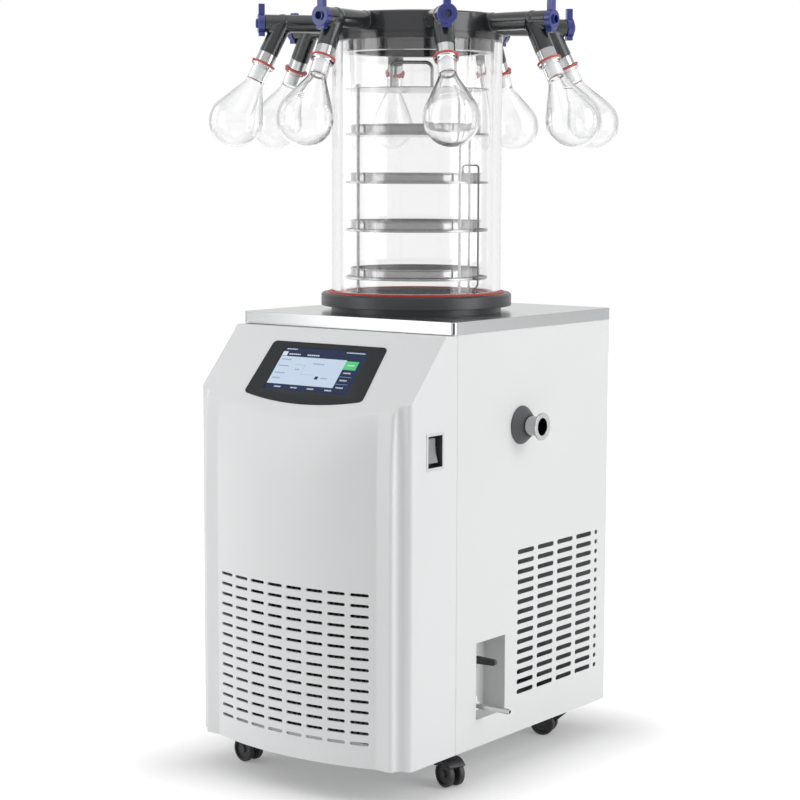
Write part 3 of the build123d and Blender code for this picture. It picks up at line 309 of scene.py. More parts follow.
def rubberFinish(name, base, roughness):
    # matt rubber: fine pimples and a faint bloom
    f = Finish(name)
    bloom = f.noise(25.0, detail=4.0)
    return f.surface(baseColor=f.blend(bloom, *around(base, 0.12)), roughness=roughness + (bloom - 0.5) * 0.2,
                     normal=f.bump(f.noise(1400.0), 0.15, 0.05))


def mouldedFinish(name, base, roughness, grain=900.0, bump=0.12, coat=0.0, spread=0.05, specular=0.5):
    # moulded plastic: spark-eroded grain and slight flow marks
    f = Finish(name)
    flow = f.noise(12.0, detail=3.0, stretch=(1, 1, 0.35))
    return f.surface(baseColor=f.blend(flow, *around(base, spread)), coatWeight=coat, specular=specular,
                     roughness=roughness + (flow - 0.5) * 0.1, normal=f.bump(f.noise(grain), bump, 0.03))


def clearFinish(name, tint, roughness, ior, lampsPass, edge, wave=0.02, scratch=0.02):
    # clear glass or acrylic: darker where it is seen along its wall, partly the wall's own tint and partly painted
    # shade on its edge-on outlines, with faint smears and a very slight waviness
    f = Finish(name)
    smear = f.noise(30.0, detail=4.0).rise(0.45, 0.8)
    # painted shade: the base colour falls to the tint times edge where the wall is seen edge-on
    edgeOnShade = f.wire("LayerWeight", {}, {"Blend": 0.5}, output="Facing").rise(0.3, 0.95)
    return f.surface(lampsPass=lampsPass, baseColor=f.blend(edgeOnShade, tint, tuple(c * edge for c in tint)),
                     transmissionWeight=1.0, ior=ior, roughness=roughness + smear * scratch,
                     normal=f.bump(f.noise(8.0, detail=1.0), wave, 0.3))


# the touch screen in metres: its size, the slope's upward direction (Y, Z) and the upper edge's place along it
screen = {"width": 0.151, "height": 0.0755, "upperEdge": 0.31634, "slope": (0.6733, 0.7394)}
navy, paleBlue, inkBlue, white = (0.008, 0.019, 0.06), (0.5, 0.59, 0.72), (0.009, 0.026, 0.05), (0.6, 0.65, 0.72)
green, greyBlue = (0.08, 0.515, 0.188), (0.2, 0.27, 0.42)
# its areas in shares of its width and height, down from its top left corner:
# left, right, top, bottom, colour, dashes per width (0 = solid)
screenPlaces = [
    (0.0, 0.8, 0.22, 0.87, paleBlue, 0),
    (0.02, 0.15, 0.035, 0.06, white, 46), (0.75, 0.97, 0.035, 0.06, white, 46),
    (0.0, 0.06, 0.11, 0.21, white, 0), (0.08, 0.22, 0.15, 0.18, white, 40), (0.3, 0.45, 0.15, 0.18, white, 40),
    (0.8, 0.95, 0.24, 0.43, green, 0), (0.83, 0.92, 0.32, 0.35, white, 60),
    *[(0.8, 0.95, top, top + 0.01, greyBlue, 0) for top in (0.43, 0.6, 0.77)],
    *[(0.83, 0.92, top, top + 0.03, white, 60) for top in (0.5, 0.67, 0.84)],
    *[(0.03, 0.15, top, top + 0.03, greyBlue, 50) for top in (0.28, 0.43, 0.6)],
    (0.03, 0.12, 0.72, 0.75, greyBlue, 50),
    (0.22, 0.34, 0.4, 0.405, greyBlue, 0), (0.34, 0.343, 0.4, 0.62, greyBlue, 0),
    (0.34, 0.5, 0.615, 0.62, greyBlue, 0),
    (0.53, 0.57, 0.64, 0.71, inkBlue, 0), (0.6, 0.68, 0.66, 0.69, greyBlue, 50),
    (0.42, 0.56, 0.34, 0.37, greyBlue, 50), (0.25, 0.3, 0.5, 0.53, greyBlue, 50),
    *[(middle - 0.04, middle + 0.04, 0.92, 0.95, white, 60) for middle in (0.15, 0.35, 0.55, 0.76)],
]


def screenFinish(name):
    # lit display: flat areas laid over one another, each given by its edges along and down the face
    v = screen
    f = Finish(name)
    x, y, z = (f.axis(c) for c in "XYZ")
    along = (x + v["width"] / 2) / v["width"]
    down = (v["upperEdge"] - y * v["slope"][0] - z * v["slope"][1]) / v["height"]
    colour = f.blend((along * 90.0).math("FRACT") * 0.04, navy, inkBlue)
    for left, right, top, bottom, tone, dashes in screenPlaces:
        area = (along > left) * (along < right) * (down > top) * (down < bottom)
        if dashes:
            area = area * ((along * dashes).math("FRACT") > 0.3)
        colour = f.blend(area, colour, tone)
    return f.surface(baseColor=colour, emissionColor=colour, emissionStrength=0.3, specular=0.2,
                     roughness=0.12 + f.noise(30.0, detail=3.0) * 0.06)


finishes = {
    "cabinet_paint": paintedFinish("cabinetPaint", (0.79, 0.8, 0.8), 0.42, 420.0, 0.12),
    "pan_steel": steelFinish("panZinc", (0.5, 0.51, 0.52), 0.45, (1, 1, 1), 20.0),
    "cover_plastic": mouldedFinish("coverPlastic", (0.8, 0.81, 0.815), 0.4, 700.0, 0.06, 0.1, 0.012),
    "worktop_steel": steelFinish("worktopSteel", (0.45, 0.455, 0.46), 0.24, (0.02, 1, 1), 900.0),
    "bezel_plastic": mouldedFinish("bezelPlastic", (0.012, 0.015, 0.018), 0.45, specular=0.22),
    "screen_glass": screenFinish("screenGlass"),
    "switch_plastic": switchFinish("switchPlastic", (0.72, 0.73, 0.735), (0.05, 0.052, 0.055)),
    "rocker_plastic": mouldedFinish("rockerPlastic", (0.3, 0.305, 0.31), 0.25),
    "port_steel": steelFinish("portSteel", (0.4, 0.405, 0.41), 0.16, (0.03, 1, 1), 700.0),
    "grommet_rubber": rubberFinish("grommetRubber", (0.085, 0.092, 0.096), 0.62),
    "recess_plastic": paintedFinish("recessPaint", (0.66, 0.67, 0.67), 0.5, 420.0, 0.1),
    "valve_metal": steelFinish("valveSteel", (0.66, 0.67, 0.67), 0.28, (0.05, 1, 1), 500.0),
    "lever_plastic": mouldedFinish("leverPlastic", (0.03, 0.031, 0.034), 0.4),
    "pot_steel": steelFinish("potSteel", (0.6, 0.61, 0.62), 0.3, (1, 1, 0.05), 300.0),
    "ring_metal": turnedFinish("ringCharcoal", (0.04, 0.042, 0.045), 0.36, 0.5),
    "red_rubber": rubberFinish("redRubber", (0.56, 0.05, 0.036), 0.5),
    # the last number sets the painted shade on the acrylic's edge-on outlines
    "chamber_acrylic": clearFinish("chamberAcrylic", (0.95, 0.946, 0.946), 0.01, 1.49, (0.94, 0.94, 0.94), 0.86,
                                   wave=0.004),
    "lid_plastic": turnedFinish("lidBlack", (0.016, 0.017, 0.02), 0.22, 0.0, 0.03, 0.2, 700.0, 0.35),
    "collar_steel": steelFinish("collarSteel", (0.42, 0.425, 0.43), 0.16, (1, 1, 0.2), 500.0),
    "rack_steel": steelFinish("rackSteel", (0.24, 0.243, 0.245), 0.18, (0.1, 1, 1), 300.0),
    "tray_steel": turnedFinish("traySteel", (0.27, 0.272, 0.275), 0.16),
    "lead_plastic": mouldedFinish("leadPlastic", (0.08, 0.08, 0.085), 0.5),
    "condenser_metal": steelFinish("condenserFins", (0.09, 0.092, 0.095), 0.5, (1, 1, 0.1), 300.0),
    "shroud_metal": paintedFinish("shroudPaint", (0.05, 0.052, 0.055), 0.5, 420.0, 0.1),
    "fan_plastic": mouldedFinish("fanPlastic", (0.03, 0.03, 0.033), 0.45),
    "compressor_paint": paintedFinish("compressorPaint", (0.02, 0.02, 0.022), 0.35, 300.0, 0.15),
    # the last number sets the painted shade on the flask glass's edge-on outlines
    "flask_glass": clearFinish("flaskGlass", (0.96, 0.962, 0.962), 0.0, 1.47, (0.95, 0.95, 0.95), 0.35),
    "knob_plastic": mouldedFinish("knobBlue", (0.012, 0.026, 0.21), 0.25, 700.0, 0.05, 0.3, 0.08),
    "caster_plastic": mouldedFinish("casterPlastic", (0.02, 0.02, 0.022), 0.4),
    "wheel_rubber": rubberFinish("wheelRubber", (0.03, 0.03, 0.032), 0.5),
}
# finishes of pieces that share a slot with others
armFinish = mouldedFinish("armSlate", (0.012, 0.017, 0.018), 0.26, 700.0, 0.04, 0.35, 0.15)
coneFinish = mouldedFinish("coneFrosted", (0.72, 0.74, 0.75), 0.6, 500.0, 0.1)
sealFinish = rubberFinish("sealRed", (0.6, 0.1, 0.08), 0.5)
print("finishes made:", len(finishes) + 3)


def filleted(corners, steps=4, closed=True):
    # outline through corners (across, up, radius); an arc between its tangent points replaces each corner that has
    # a radius: (first sin((1 - t) w) + last sin(t w)) / sin w, for the angle w between its two ends
    points = []
    count = len(corners)
    for i, (x, y, radius) in enumerate(corners):
        here = np.array([x, y], float)
        if not radius or (not closed and i in (0, count - 1)):
            points.append(here)
            continue
        before = np.array(corners[i - 1][:2], float) - here
        after = np.array(corners[(i + 1) % count][:2], float) - here
        before, after = before / np.linalg.norm(before), after / np.linalg.norm(after)
        half = math.acos(np.clip(before @ after, -1, 1)) / 2
        reach = radius / math.tan(half)
        centre = here + (before + after) / np.linalg.norm(before + after) * radius / math.sin(half)
        first, last = here + before * reach - centre, here + after * reach - centre
        sweep = math.pi - 2 * half
        for t in np.linspace(0, 1, steps + 1):
            spoke = first * math.sin((1 - t) * sweep) + last * math.sin(t * sweep)
            points.append(centre + spoke / math.sin(sweep))
    return np.array(points)


def revolved(profile, steps=96, closed=True):
    # a profile of (radius, height) turned about the Z axis: x = r cos a, y = r sin a
    a = np.linspace(0, 2 * math.pi, steps, endpoint=False)
    r, z = np.asarray(profile, float).T
    points = np.stack([np.outer(r, np.cos(a)), np.outer(r, np.sin(a)), np.repeat(z[:, None], steps, 1)], -1)
    return points.reshape(-1, 3), gridFaces(len(r), steps, closed, True)


def turnZ(degrees):
    # turn about Z, from X towards Y
    c, s = math.cos(math.radians(degrees)), math.sin(math.radians(degrees))
    return np.array([[c, -s, 0], [s, c, 0], [0, 0, 1]])


def turnY(degrees):
    # turn about Y, from Z towards X
    c, s = math.cos(math.radians(degrees)), math.sin(math.radians(degrees))
    return np.array([[c, 0, s], [0, 1, 0], [-s, 0, c]])


def alongX(shape, z):
    # lays a shape about the Z axis down, so that it lies about a line along X at height z
    return shape[0][:, [2, 1, 0]] * (1, -1, 1) + (0, 0, z), shape[1]


def gathered(shapes):
    # several (points, faces) as one
    points, faces, first = [], [], 0
    for p, f in shapes:
        points.append(p)
        faces += [[first + k for k in face] for face in f]
        first += len(p)
    return np.concatenate(points), faces


def aroundLid(shape):
    # a shape made along +X, once for every arm
    return gathered([(shape[0] @ turnZ(a).T, shape[1]) for a in armAngles])


def inBranch(shape, distance=0.0):
    # carries a shape from the Z axis to the branch, a distance down from the arm's axis
    points = (shape[0] + (0, 0, -distance)) @ turnY(-arm["tilt"]).T + (arm["branchStart"], 0, arm["z"])
    return points, shape[1]


def finished(name, shape, slotName, body, *replaced, finish=None):
    # tidies, sharpens and places one new piece
    obj = fair(sharpen(tidyMesh(makeObject(name, *shape))))
    return place(obj, finish or finishes[slotName], body, slotName, *replaced)


clear = 0.05    # gap left where a new piece meets its neighbour

# the lid's arms with their branches
arm = {"z": 1084.5, "turn": 1.8, "count": 8, "seat": 125.0, "radius": 13.0, "bossRadius": 13.8, "bossLength": 10.0,
       "end": 225.6, "stopcockBore": 8.06, "boreDepth": 30.0, "tilt": 26.0, "branchStart": 199.5,
       "branchRadius": 14.0, "branchLength": 48.0, "root": 3.0, "rootEnd": 30.0, "coreRadius": 10.0,
       "coneTip": 9.3, "coneLength": 22.0, "coneBore": 5.0, "coneFloor": 10.0}
collar = {"radius": 13.7, "bore": 10.05, "length": 15.0}
seal = {"radius": 18.0, "bore": 10.05, "thickness": 3.0}
armAngles = [arm["turn"] + 360.0 / arm["count"] * k for k in range(arm["count"])]
rimDepth = arm["branchLength"] + collar["length"] + seal["thickness"]


def armTube():
    # boss and tube along X, open at the outer end where the stopcock's plug goes in
    a = arm
    depth = a["end"] - a["boreDepth"]
    profile = filleted([
        (0, a["seat"], 0), (a["bossRadius"], a["seat"], 0.2), (a["bossRadius"], a["seat"] + a["bossLength"], 0.8),
        (a["radius"], a["seat"] + a["bossLength"], 0.3), (a["radius"], a["end"], 0.9),
        (a["stopcockBore"], a["end"], 0.5), (a["stopcockBore"], depth, 0), (0, depth, 0)], 3, False)
    return alongX(revolved(profile, 64, False), a["z"])


def branchTube():
    # round root and tube; near the arm each point moves out by R - sqrt(R^2 - (R - d)^2), d being its distance
    # from the arm, which leaves a hollow fillet of radius R between the two
    a = arm
    r, end = a["branchRadius"], a["branchLength"]
    arc = [(r * math.cos(t), r * math.sin(t)) for t in np.linspace(math.pi / 2, 0, 12)]
    rows = [(r, -s) for s in np.linspace(1.0, a["rootEnd"], 59)]
    low = filleted([(r, -a["rootEnd"] - 1, 0), (r, -end, 0.6), (a["coreRadius"] - 1, -end, 0), (0, -end, 0)],
                   3, False)
    points, faces = revolved(np.array(arc + rows + low.tolist()), 96, False)
    spread = np.hypot(points[:, 0], points[:, 1])
    outward = points[:, :2] / np.maximum(spread, 1e-6)[:, None]
    placed, _ = inBranch((points, faces))
    gap = np.clip(np.hypot(placed[:, 1], placed[:, 2] - a["z"]) - a["radius"], 0, a["root"])
    flare = a["root"] - np.sqrt(a["root"] ** 2 - (a["root"] - gap) ** 2)
    wall = (spread > r - 0.01) & (points[:, 2] < 0)
    fade = np.clip((-points[:, 2] - 2.0) / 8.0, 0, 1)
    points[:, :2] += outward * (flare * wall * fade)[:, None]
    return inBranch((points, faces))


def core():
    # core that carries collar and seal, from just inside the branch to just inside the cone
    r, start, end = arm["coreRadius"], 1 - arm["branchLength"], -rimDepth
    profile = filleted([(0, start, 0), (r, start, 0), (r, end, 0.2), (r - 0.3, end - 0.5, 0), (0, end - 0.5, 0)],
                       2, False)
    return inBranch(revolved(profile, 48, False))


def groundCone():
    # tapered joint that the flask's neck sits on, open at its tip
    r, end, bottom = arm["coneBore"], -arm["coneLength"], -arm["coneFloor"]
    profile = filleted([(0, 0, 0), (arm["coreRadius"], 0, 0.2), (arm["coneTip"], end, 0.6), (r, end, 0.4),
                        (r, bottom, 0), (0, bottom, 0)], 3, False)
    return inBranch(revolved(profile, 48, False), rimDepth)


def collarRing():
    # plain sleeve with rounded edges below the branch
    r, b, n = collar["radius"], collar["bore"], collar["length"]
    profile = filleted([(b, 0, 0.3), (r, 0, 0.7), (r, -n, 0.7), (b, -n, 0.3)], 3)
    return inBranch(revolved(profile, 72), arm["branchLength"])


def sealRing():
    # flat ring with a rounded rim between the collar and the flask
    r, b, low, high = seal["radius"], seal["bore"], clear - seal["thickness"], -clear
    profile = filleted([(b, high, 0.3), (r, high, 1.2), (r, low, 1.2), (b, low, 0.3)], 4)
    return inBranch(revolved(profile, 72), arm["branchLength"] + collar["length"])


# flask: radii, and depths from the rim's face downwards
flask = {"bulb": 39.5, "centre": 91.5, "wall": 2.0, "neck": 13.3, "neckEnd": 30.0, "rim": 17.0, "rimThickness": 3.5,
         "seatTop": 10.05, "seatTip": 9.36, "seatEnd": 24.5, "throat": 11.3, "throatStart": 26.5, "throatEnd": 30.5}


def bulbLine(neck, depth, bulb, steps=28):
    # arc of the bulb, from where a line from the neck's end touches it down to its pole
    reach = math.hypot(neck, flask["centre"] - depth)
    heading = math.atan2(depth - flask["centre"], neck) + math.acos(bulb / reach)
    return [(bulb * math.cos(t), -flask["centre"] - bulb * math.sin(t))
            for t in np.linspace(heading, math.pi / 2, steps)]


def flaskGlass():
    # one closed outline turned about the branch: rim, neck and bulb outside; bulb, throat and tapered seat inside
    v = flask
    outerArc = bulbLine(v["neck"], v["neckEnd"], v["bulb"])
    innerArc = bulbLine(v["throat"], v["throatEnd"], v["bulb"] - v["wall"])
    outer = filleted([(v["seatTop"], 0, 0), (v["rim"], 0, 1.2), (v["rim"], -v["rimThickness"], 1.3),
                      (v["neck"], -v["rimThickness"] - 1.8, 1.6), (v["neck"], -v["neckEnd"], 22.0),
                      (*outerArc[0], 0)], 6, False)
    inner = filleted([(*innerArc[0], 0), (v["throat"], -v["throatEnd"], 20.0),
                      (v["throat"], -v["throatStart"], 1.2), (v["seatTip"], -v["seatEnd"], 1.0),
                      (v["seatTip"], -arm["coneLength"], 0), (v["seatTop"], 0, 0)], 5, False)
    profile = np.concatenate([outer, outerArc[1:], innerArc[::-1], inner[1:-1]])
    return inBranch(revolved(profile, 72), rimDepth)


# lid, ring, gasket and cylinder about the chamber axis
lid = {"radius": 127.0, "top": 1098.5, "edge": 2.0, "bottom": 1060.0, "plug": 113.0, "plugEnd": 1044.0,
       "cavity": 92.0, "roof": 1093.5, "groove": 1069.5, "grooveWidth": 1.5, "grooveDepth": 1.2}
ring = {"neck": 127.0, "foot": 664.0, "step": 673.0, "radius": 142.0, "top": 692.0, "chamfer": 2.5, "bore": 98.0,
        "seat": (106.3, 131.2), "seatDepth": 2.0}
gasket = {"inner": 106.5, "outer": 131.0, "low": 690.05, "high": 694.45}
cylinder = {"inner": 114.0, "outer": 126.0, "low": 694.5, "high": 1060.0}


def lidShape():
    # disc with a groove round its side and a plug below, hollow up to the roof
    v = lid
    r, top, low = v["radius"], v["top"], v["bottom"] + clear
    high, floor = v["groove"], v["radius"] - v["grooveDepth"]
    under = high - v["grooveWidth"]
    profile = filleted([
        (0, v["roof"], 0), (0, top, 0), (r - v["edge"], top, 1.2), (r, top - v["edge"], 1.2), (r, high, 0.5),
        (floor, high, 0.2), (floor, under, 0.2), (r, under, 0.5), (r, low, 0.8), (v["plug"], low, 0.3),
        (v["plug"], v["plugEnd"], 1.2), (v["cavity"], v["plugEnd"], 0.8), (v["cavity"], v["roof"], 3.0)], 3)
    return revolved(profile, 192)


def ringShape():
    # stepped ring with a chamfered edge and a shallow seat for the gasket in its top
    v = ring
    r, c, foot, top, floor = v["radius"], v["chamfer"], v["foot"] + clear, v["top"], v["top"] - v["seatDepth"]
    low, high = v["seat"]
    profile = filleted([
        (v["bore"], foot, 0), (v["neck"], foot, 0), (v["neck"], v["step"], 0.8), (r, v["step"], 0.9),
        (r, top - c, 0.8), (r - c, top, 0.8), (high, top, 0.3), (high, floor, 0.2), (low, floor, 0.2),
        (low, top, 0.3), (v["bore"], top, 0.8)], 3)
    return revolved(profile, 192)


def hoop(inner, outer, low, high, round, steps=192):
    # plain ring with rounded edges
    corners = [(inner, low, round), (outer, low, round), (outer, high, round), (inner, high, round)]
    return revolved(filleted(corners), steps)


# rack and trays
rack = {"radius": 106.5, "sheet": 1.2, "rim": 3.6, "levels": (713.0, 783.0, 853.0, 923.0), "rodCircle": 102.2,
        "rodRadius": 2.0, "rodTurns": (-107.0, -17.0, 73.0), "rodTop": 996.5, "footRadius": 3.4, "footHeight": 3.0}
tray = {"radius": 96.5, "height": 15.0, "sheet": 0.9, "bead": 1.3, "shift": 3.0, "turn": 163.0}


def rackShape():
    # four rimmed shelves and three rods with feet
    v = rack
    r, s = v["radius"], v["sheet"]
    foot, step, top = ring["top"], ring["top"] + v["footHeight"], v["rodTop"]
    shapes = []
    for level in v["levels"]:
        rim = level + v["rim"]
        profile = filleted([(0, level, 0), (r, level, 0.8), (r, rim, 0.45), (r - s, rim, 0.45),
                            (r - s, level + s, 0.5), (0, level + s, 0)], 3, False)
        shapes.append(revolved(profile, 144))
    for turn in v["rodTurns"]:
        profile = filleted([(0, foot, 0), (v["footRadius"], foot, 0.2), (v["footRadius"], step, 0.5),
                            (v["rodRadius"], step, 0.3), (v["rodRadius"], top, 0.5), (0, top, 0)], 3, False)
        points, faces = revolved(profile, 24, False)
        shapes.append((points @ turnZ(turn).T + turnZ(turn) @ (v["rodCircle"], 0, 0), faces))
    return gathered(shapes)


def trayShape(level):
    # round pan with a rolled rim, moved a little off the chamber axis
    v = tray
    r, s, b = v["radius"], v["sheet"], v["bead"]
    low = level + rack["sheet"] + clear
    top = low + v["height"] - clear
    bead = [(r + b * 0.2 + b * math.cos(t) * 0.9, top - b + b * math.sin(t)) for t in np.linspace(-1.45, 1.5, 9)]
    outer = filleted([(0, low, 0), (r, low, 2.4), (r, top - 2 * b, 0.3), (*bead[0], 0)], 4, False)
    inner = filleted([(*bead[-1], 0), (r - s, top - 0.2, 0.3), (r - s, low + s, 2.0), (0, low + s, 0)], 4, False)
    points, faces = revolved(np.concatenate([outer, bead[1:-1], inner]), 144, False)
    turn = math.radians(v["turn"])
    return points + (v["shift"] * math.cos(turn), v["shift"] * math.sin(turn), 0), faces


# vacuum port and its rubber cone, both along X
port = {"z": 506.0, "tube": 14.0, "bore": 12.5, "flange": 20.0, "thickness": 3.0, "taper": 1.6, "chamfer": 0.9,
        "face": 228.5, "root": 120.0}
grommet = {"face": 191.5, "foot": 28.5, "tip": 17.5, "height": 13.5, "bore": 14.05, "neck": 19.95, "sheet": 1.2}


def portShape():
    # tube with a flange that is tapered behind and chamfered inside
    v = port
    b, face, back, c = v["bore"], v["face"], v["face"] - v["thickness"], v["chamfer"]
    profile = filleted([
        (b, v["root"], 0), (v["tube"], v["root"], 0), (v["tube"], back - v["taper"], 0.8), (v["flange"], back, 0.7),
        (v["flange"], face, 0.8), (b + c, face, 0.4), (b, face - c, 0.4)], 4)
    return alongX(revolved(profile, 96), v["z"])


def grommetShape():
    # rubber cone that widens to the panel's face, with a neck that goes into the panel's opening
    v = grommet
    b, face, tip = v["bore"], v["face"], v["face"] + v["height"]
    profile = filleted([
        (b, tip, 0.4), (v["tip"], tip, 0.9), (v["foot"] - 1.0, face + 2.2, 1.5), (v["foot"], face + clear, 0.5),
        (v["neck"], face + clear, 0), (v["neck"], face - v["sheet"], 0), (b, face - v["sheet"] - 2.0, 0)], 4)
    return alongX(revolved(profile, 96), port["z"])


# the moulded front cover; depths are distances ahead of the chamber axis
cover = {"bottom": 51.0, "top": 645.4, "back": 160.9, "roofMiddle": 173.0, "halfWidth": 191.5, "cheek": 267.0,
         "cornerRadius": 6.0, "slopeTop": 186.5, "slopeRun": 80.5, "slopeRise": 88.4, "strip": 283.5,
         "bowHalf": 145.0, "stripOuter": 167.5, "stripRound": 4.5, "hollow": 12.0, "bow": 24.0,
         "crown": (440.0, 562.0), "bowLoss": 22.5, "stripLoss": 8.0, "bowRound": 0.7, "creaseRound": 2.2,
         "creaseEnd": 184.0, "creaseFade": 12.0, "wall": 3.0}
grille = {"columns": 8, "pitch": 34.7, "length": 27.4, "height": 4.5, "bottom": 85.0, "rows": 15, "rowPitch": 14.9}
switchHole = {"depth": (193.75, 230.25), "height": (465.75, 513.25)}
slopeLength = math.hypot(cover["slopeRun"], cover["slopeRise"])
nearCrease = (1.2, 2.2, 3.4, 5.0, 8.0)    # rows of points beside the crease between front and slope


def lesser(a, b, round):
    # the smaller of two values, the change between them rounded: b (1 - h) + a h - k h (1 - h), where h goes
    # from 0 to 1 as b - a goes from -k to k
    k = np.maximum(round, 1e-9)
    h = np.clip(0.5 + 0.5 * (b - a) / k, 0, 1)
    return b * (1 - h) + a * h - k * h * (1 - h)


def frontDepth(x, z):
    # an arc through the strips and the bow's middle, the strips, their rounded edges, the hollows beside them and
    # the cheeks; bow and strips lean back above the crown's lower height, as the square of the height above it
    v = cover
    x = np.abs(x)
    low, high = v["crown"]
    lean = np.clip((z - low) / (high - low), 0, 1.2) ** 2
    strip = v["strip"] - v["stripLoss"] * lean
    sag = v["bow"] - v["bowLoss"] * lean
    radius = (v["bowHalf"] ** 2 + sag ** 2) / (2 * sag)
    bow = strip + sag - radius + np.sqrt(np.maximum(radius ** 2 - np.minimum(x, 160.0) ** 2, 0))
    depth = -lesser(-bow, -strip, v["bowRound"])
    r, edge = v["stripRound"], v["stripOuter"]
    turn = strip - r + np.sqrt(np.maximum(r ** 2 - np.clip(x - edge, 0, r) ** 2, 0))
    depth = np.where(x > edge, turn, depth)
    start = edge + r
    bend = np.arccos(np.clip(1 - (x - start) / v["hollow"], -1, 1))
    depth = np.where(x > start, strip - r - (strip - r - v["cheek"]) * np.sin(bend), depth)
    depth = np.where(x > start + v["hollow"] - 1e-6, v["cheek"], depth)
    c, flat = v["cornerRadius"], v["halfWidth"] - v["cornerRadius"]
    corner = v["cheek"] - c + np.sqrt(np.maximum(c ** 2 - np.clip(x - flat, 0, c) ** 2, 0))
    return np.where(x > flat, corner, depth)


def slopeDepth(z):
    # straight face that comes forward by the slope's run over its rise
    return cover["slopeTop"] + (cover["top"] - z) * cover["slopeRun"] / cover["slopeRise"]


def coverDepth(x, z):
    # the front where it lies behind the sloping face, otherwise the slope, with a rounded crease between the strips
    blend = cover["creaseRound"] * np.clip((cover["creaseEnd"] - np.abs(x)) / cover["creaseFade"], 0, 1)
    return lesser(frontDepth(x, z), slopeDepth(z), blend)


def creaseHeight(x):
    # where front and slope meet, found by halving the span of heights from 500 to 640
    low, high = np.full(len(x), 500.0), np.full(len(x), 640.0)
    for _ in range(40):
        middle = (low + high) / 2
        below = frontDepth(x, middle) < slopeDepth(middle)
        low, high = np.where(below, middle, low), np.where(below, high, middle)
    return (low + high) / 2


def slotFans(first, slots, index, steps=4):
    # rounded ends of slots: in each corner cell a fan from the cell's outer corner to a quarter circle
    points, faces = [], []
    for s0, s1, z0, z1 in slots:
        r = (z1 - z0) / 2
        for s, inward in ((s0, 1), (s1, -1)):
            for z, up in ((z0, 1), (z1, -1)):
                centre = (s + inward * r, (z0 + z1) / 2)
                t = np.linspace(0, math.pi / 2, steps + 1)[1:-1]
                x, height = centre[0] - inward * r * np.cos(t), centre[1] - up * r * np.sin(t)
                start = first + len(points)
                rim = [index(s, centre[1]), *range(start, start + len(t)), index(centre[0], z)]
                points += np.stack([x, -coverDepth(x, height), height], 1).tolist()
                corner = index(s, z)
                for a, b in zip(rim, rim[1:]):
                    faces.append([corner, b, a] if inward * up > 0 else [corner, a, b])
    return points, faces


def coverSlots():
    # left, right, bottom and top of every slot of the front grille
    g = grille
    start = -(g["pitch"] * (g["columns"] - 1) + g["length"]) / 2
    starts = [start + g["pitch"] * k for k in range(g["columns"])]
    levels = [g["bottom"] + g["rowPitch"] * k for k in range(g["rows"])]
    return [(s, s + g["length"], z - g["height"] / 2, z + g["height"] / 2) for s in starts for z in levels]


def merged(values):
    # sorted numbers without repeats
    values = np.unique(np.round(values, 4))
    return values[np.insert(np.diff(values) > 0.02, 0, True)]


def coverColumns(slots):
    # x of the columns across the front: slots, edges of the strips, hollows and rounded corners
    v = cover
    r = grille["height"] / 2
    quarter = np.radians([22.5, 45, 67.5, 90])
    hollow, flat = v["stripOuter"] + v["stripRound"], v["halfWidth"] - v["cornerRadius"]
    side = np.concatenate([v["bowHalf"] + np.array([-1.5, 0, 1.5, 7, 15, 21]), [v["stripOuter"]],
                           v["stripOuter"] + v["stripRound"] * np.sin(quarter),
                           hollow + v["hollow"] * (1 - np.cos(np.radians([15, 30, 45, 60, 75, 90]))), [flat]])
    arc = flat + v["cornerRadius"] * np.sin(quarter)
    ends = np.array([(s0, s0 + r, (s0 + s1) / 2, s1 - r, s1) for s0, s1, _, _ in slots]).ravel()
    return merged(np.concatenate([-arc, -side, ends, [0.0], side, arc]))


def coverFront(slots, across, down, shared=520):
    # front and sides as one grid of columns; all columns share their rows up to a height, and above it each one's
    # rows are spread up to its end at the crease, the slope or the roof
    v = cover
    (d0, d1), (h0, h1) = switchHole["depth"], switchHole["height"]
    depths = np.concatenate([[v["back"], v["roofMiddle"]], v["slopeTop"] + down * v["slopeRun"] / slopeLength])
    # heights of the foot, the slots, the plain front and the switch's opening
    levels = merged(np.concatenate([
        [v["bottom"], 60, 71], [z for _, _, z0, z1 in slots for z in (z0, (z0 + z1) / 2, z1)],
        [310, 330, 350, 370, 390, 410, 425, 440, 448, 456], [h0, 474, 482, 490, 498, 506, h1, shared]]))
    side = depths[:-1]
    x = np.concatenate([np.full(len(side), -v["halfWidth"]), across, np.full(len(side), v["halfWidth"])])
    behind = np.concatenate([side, np.full(len(across), np.nan), side[::-1]])
    onSide = ~np.isnan(behind)
    back = np.nan_to_num(behind)
    slopeEnd = np.minimum(v["top"], v["top"] + (v["slopeTop"] - back) * v["slopeRise"] / v["slopeRun"])
    end = np.where(onSide, slopeEnd, creaseHeight(x))
    # rows closer together near the crease than down the sides
    apart = np.where(onSide, 4.2, 1.0)
    rows = [np.full(len(x), z) for z in levels]
    rows += [shared + (end - nearCrease[-1] * apart - shared) * t for t in (1 / 3, 2 / 3, 1)]
    rows += [end - apart * t for t in (*nearCrease[-2::-1], 0.0)]
    z = np.array(rows)
    y = -np.where(onSide, back[None], coverDepth(x[None], z))
    points = np.stack([np.broadcast_to(x, z.shape), y, z], -1).reshape(-1, 3)
    faces = gridFaces(*z.shape)

    def index(s, height):
        column = len(side) + int(np.abs(across - s).argmin())
        return int(np.abs(levels - height).argmin()) * len(x) + column

    # cells inside the slots and the switch's opening are left out
    cellX, cellY, cellZ = points[faces].mean(1).T
    keep = ~((cellX > v["halfWidth"] - 0.1) & (-cellY > d0) & (-cellY < d1) & (cellZ > h0) & (cellZ < h1))
    for s0, s1, z0, z1 in slots:
        keep &= ~((cellX > s0) & (cellX < s1) & (cellZ > z0) & (cellZ < z1))
    extra, fans = slotFans(len(points), slots, index)
    return np.concatenate([points, extra]), faces[keep].tolist() + fans


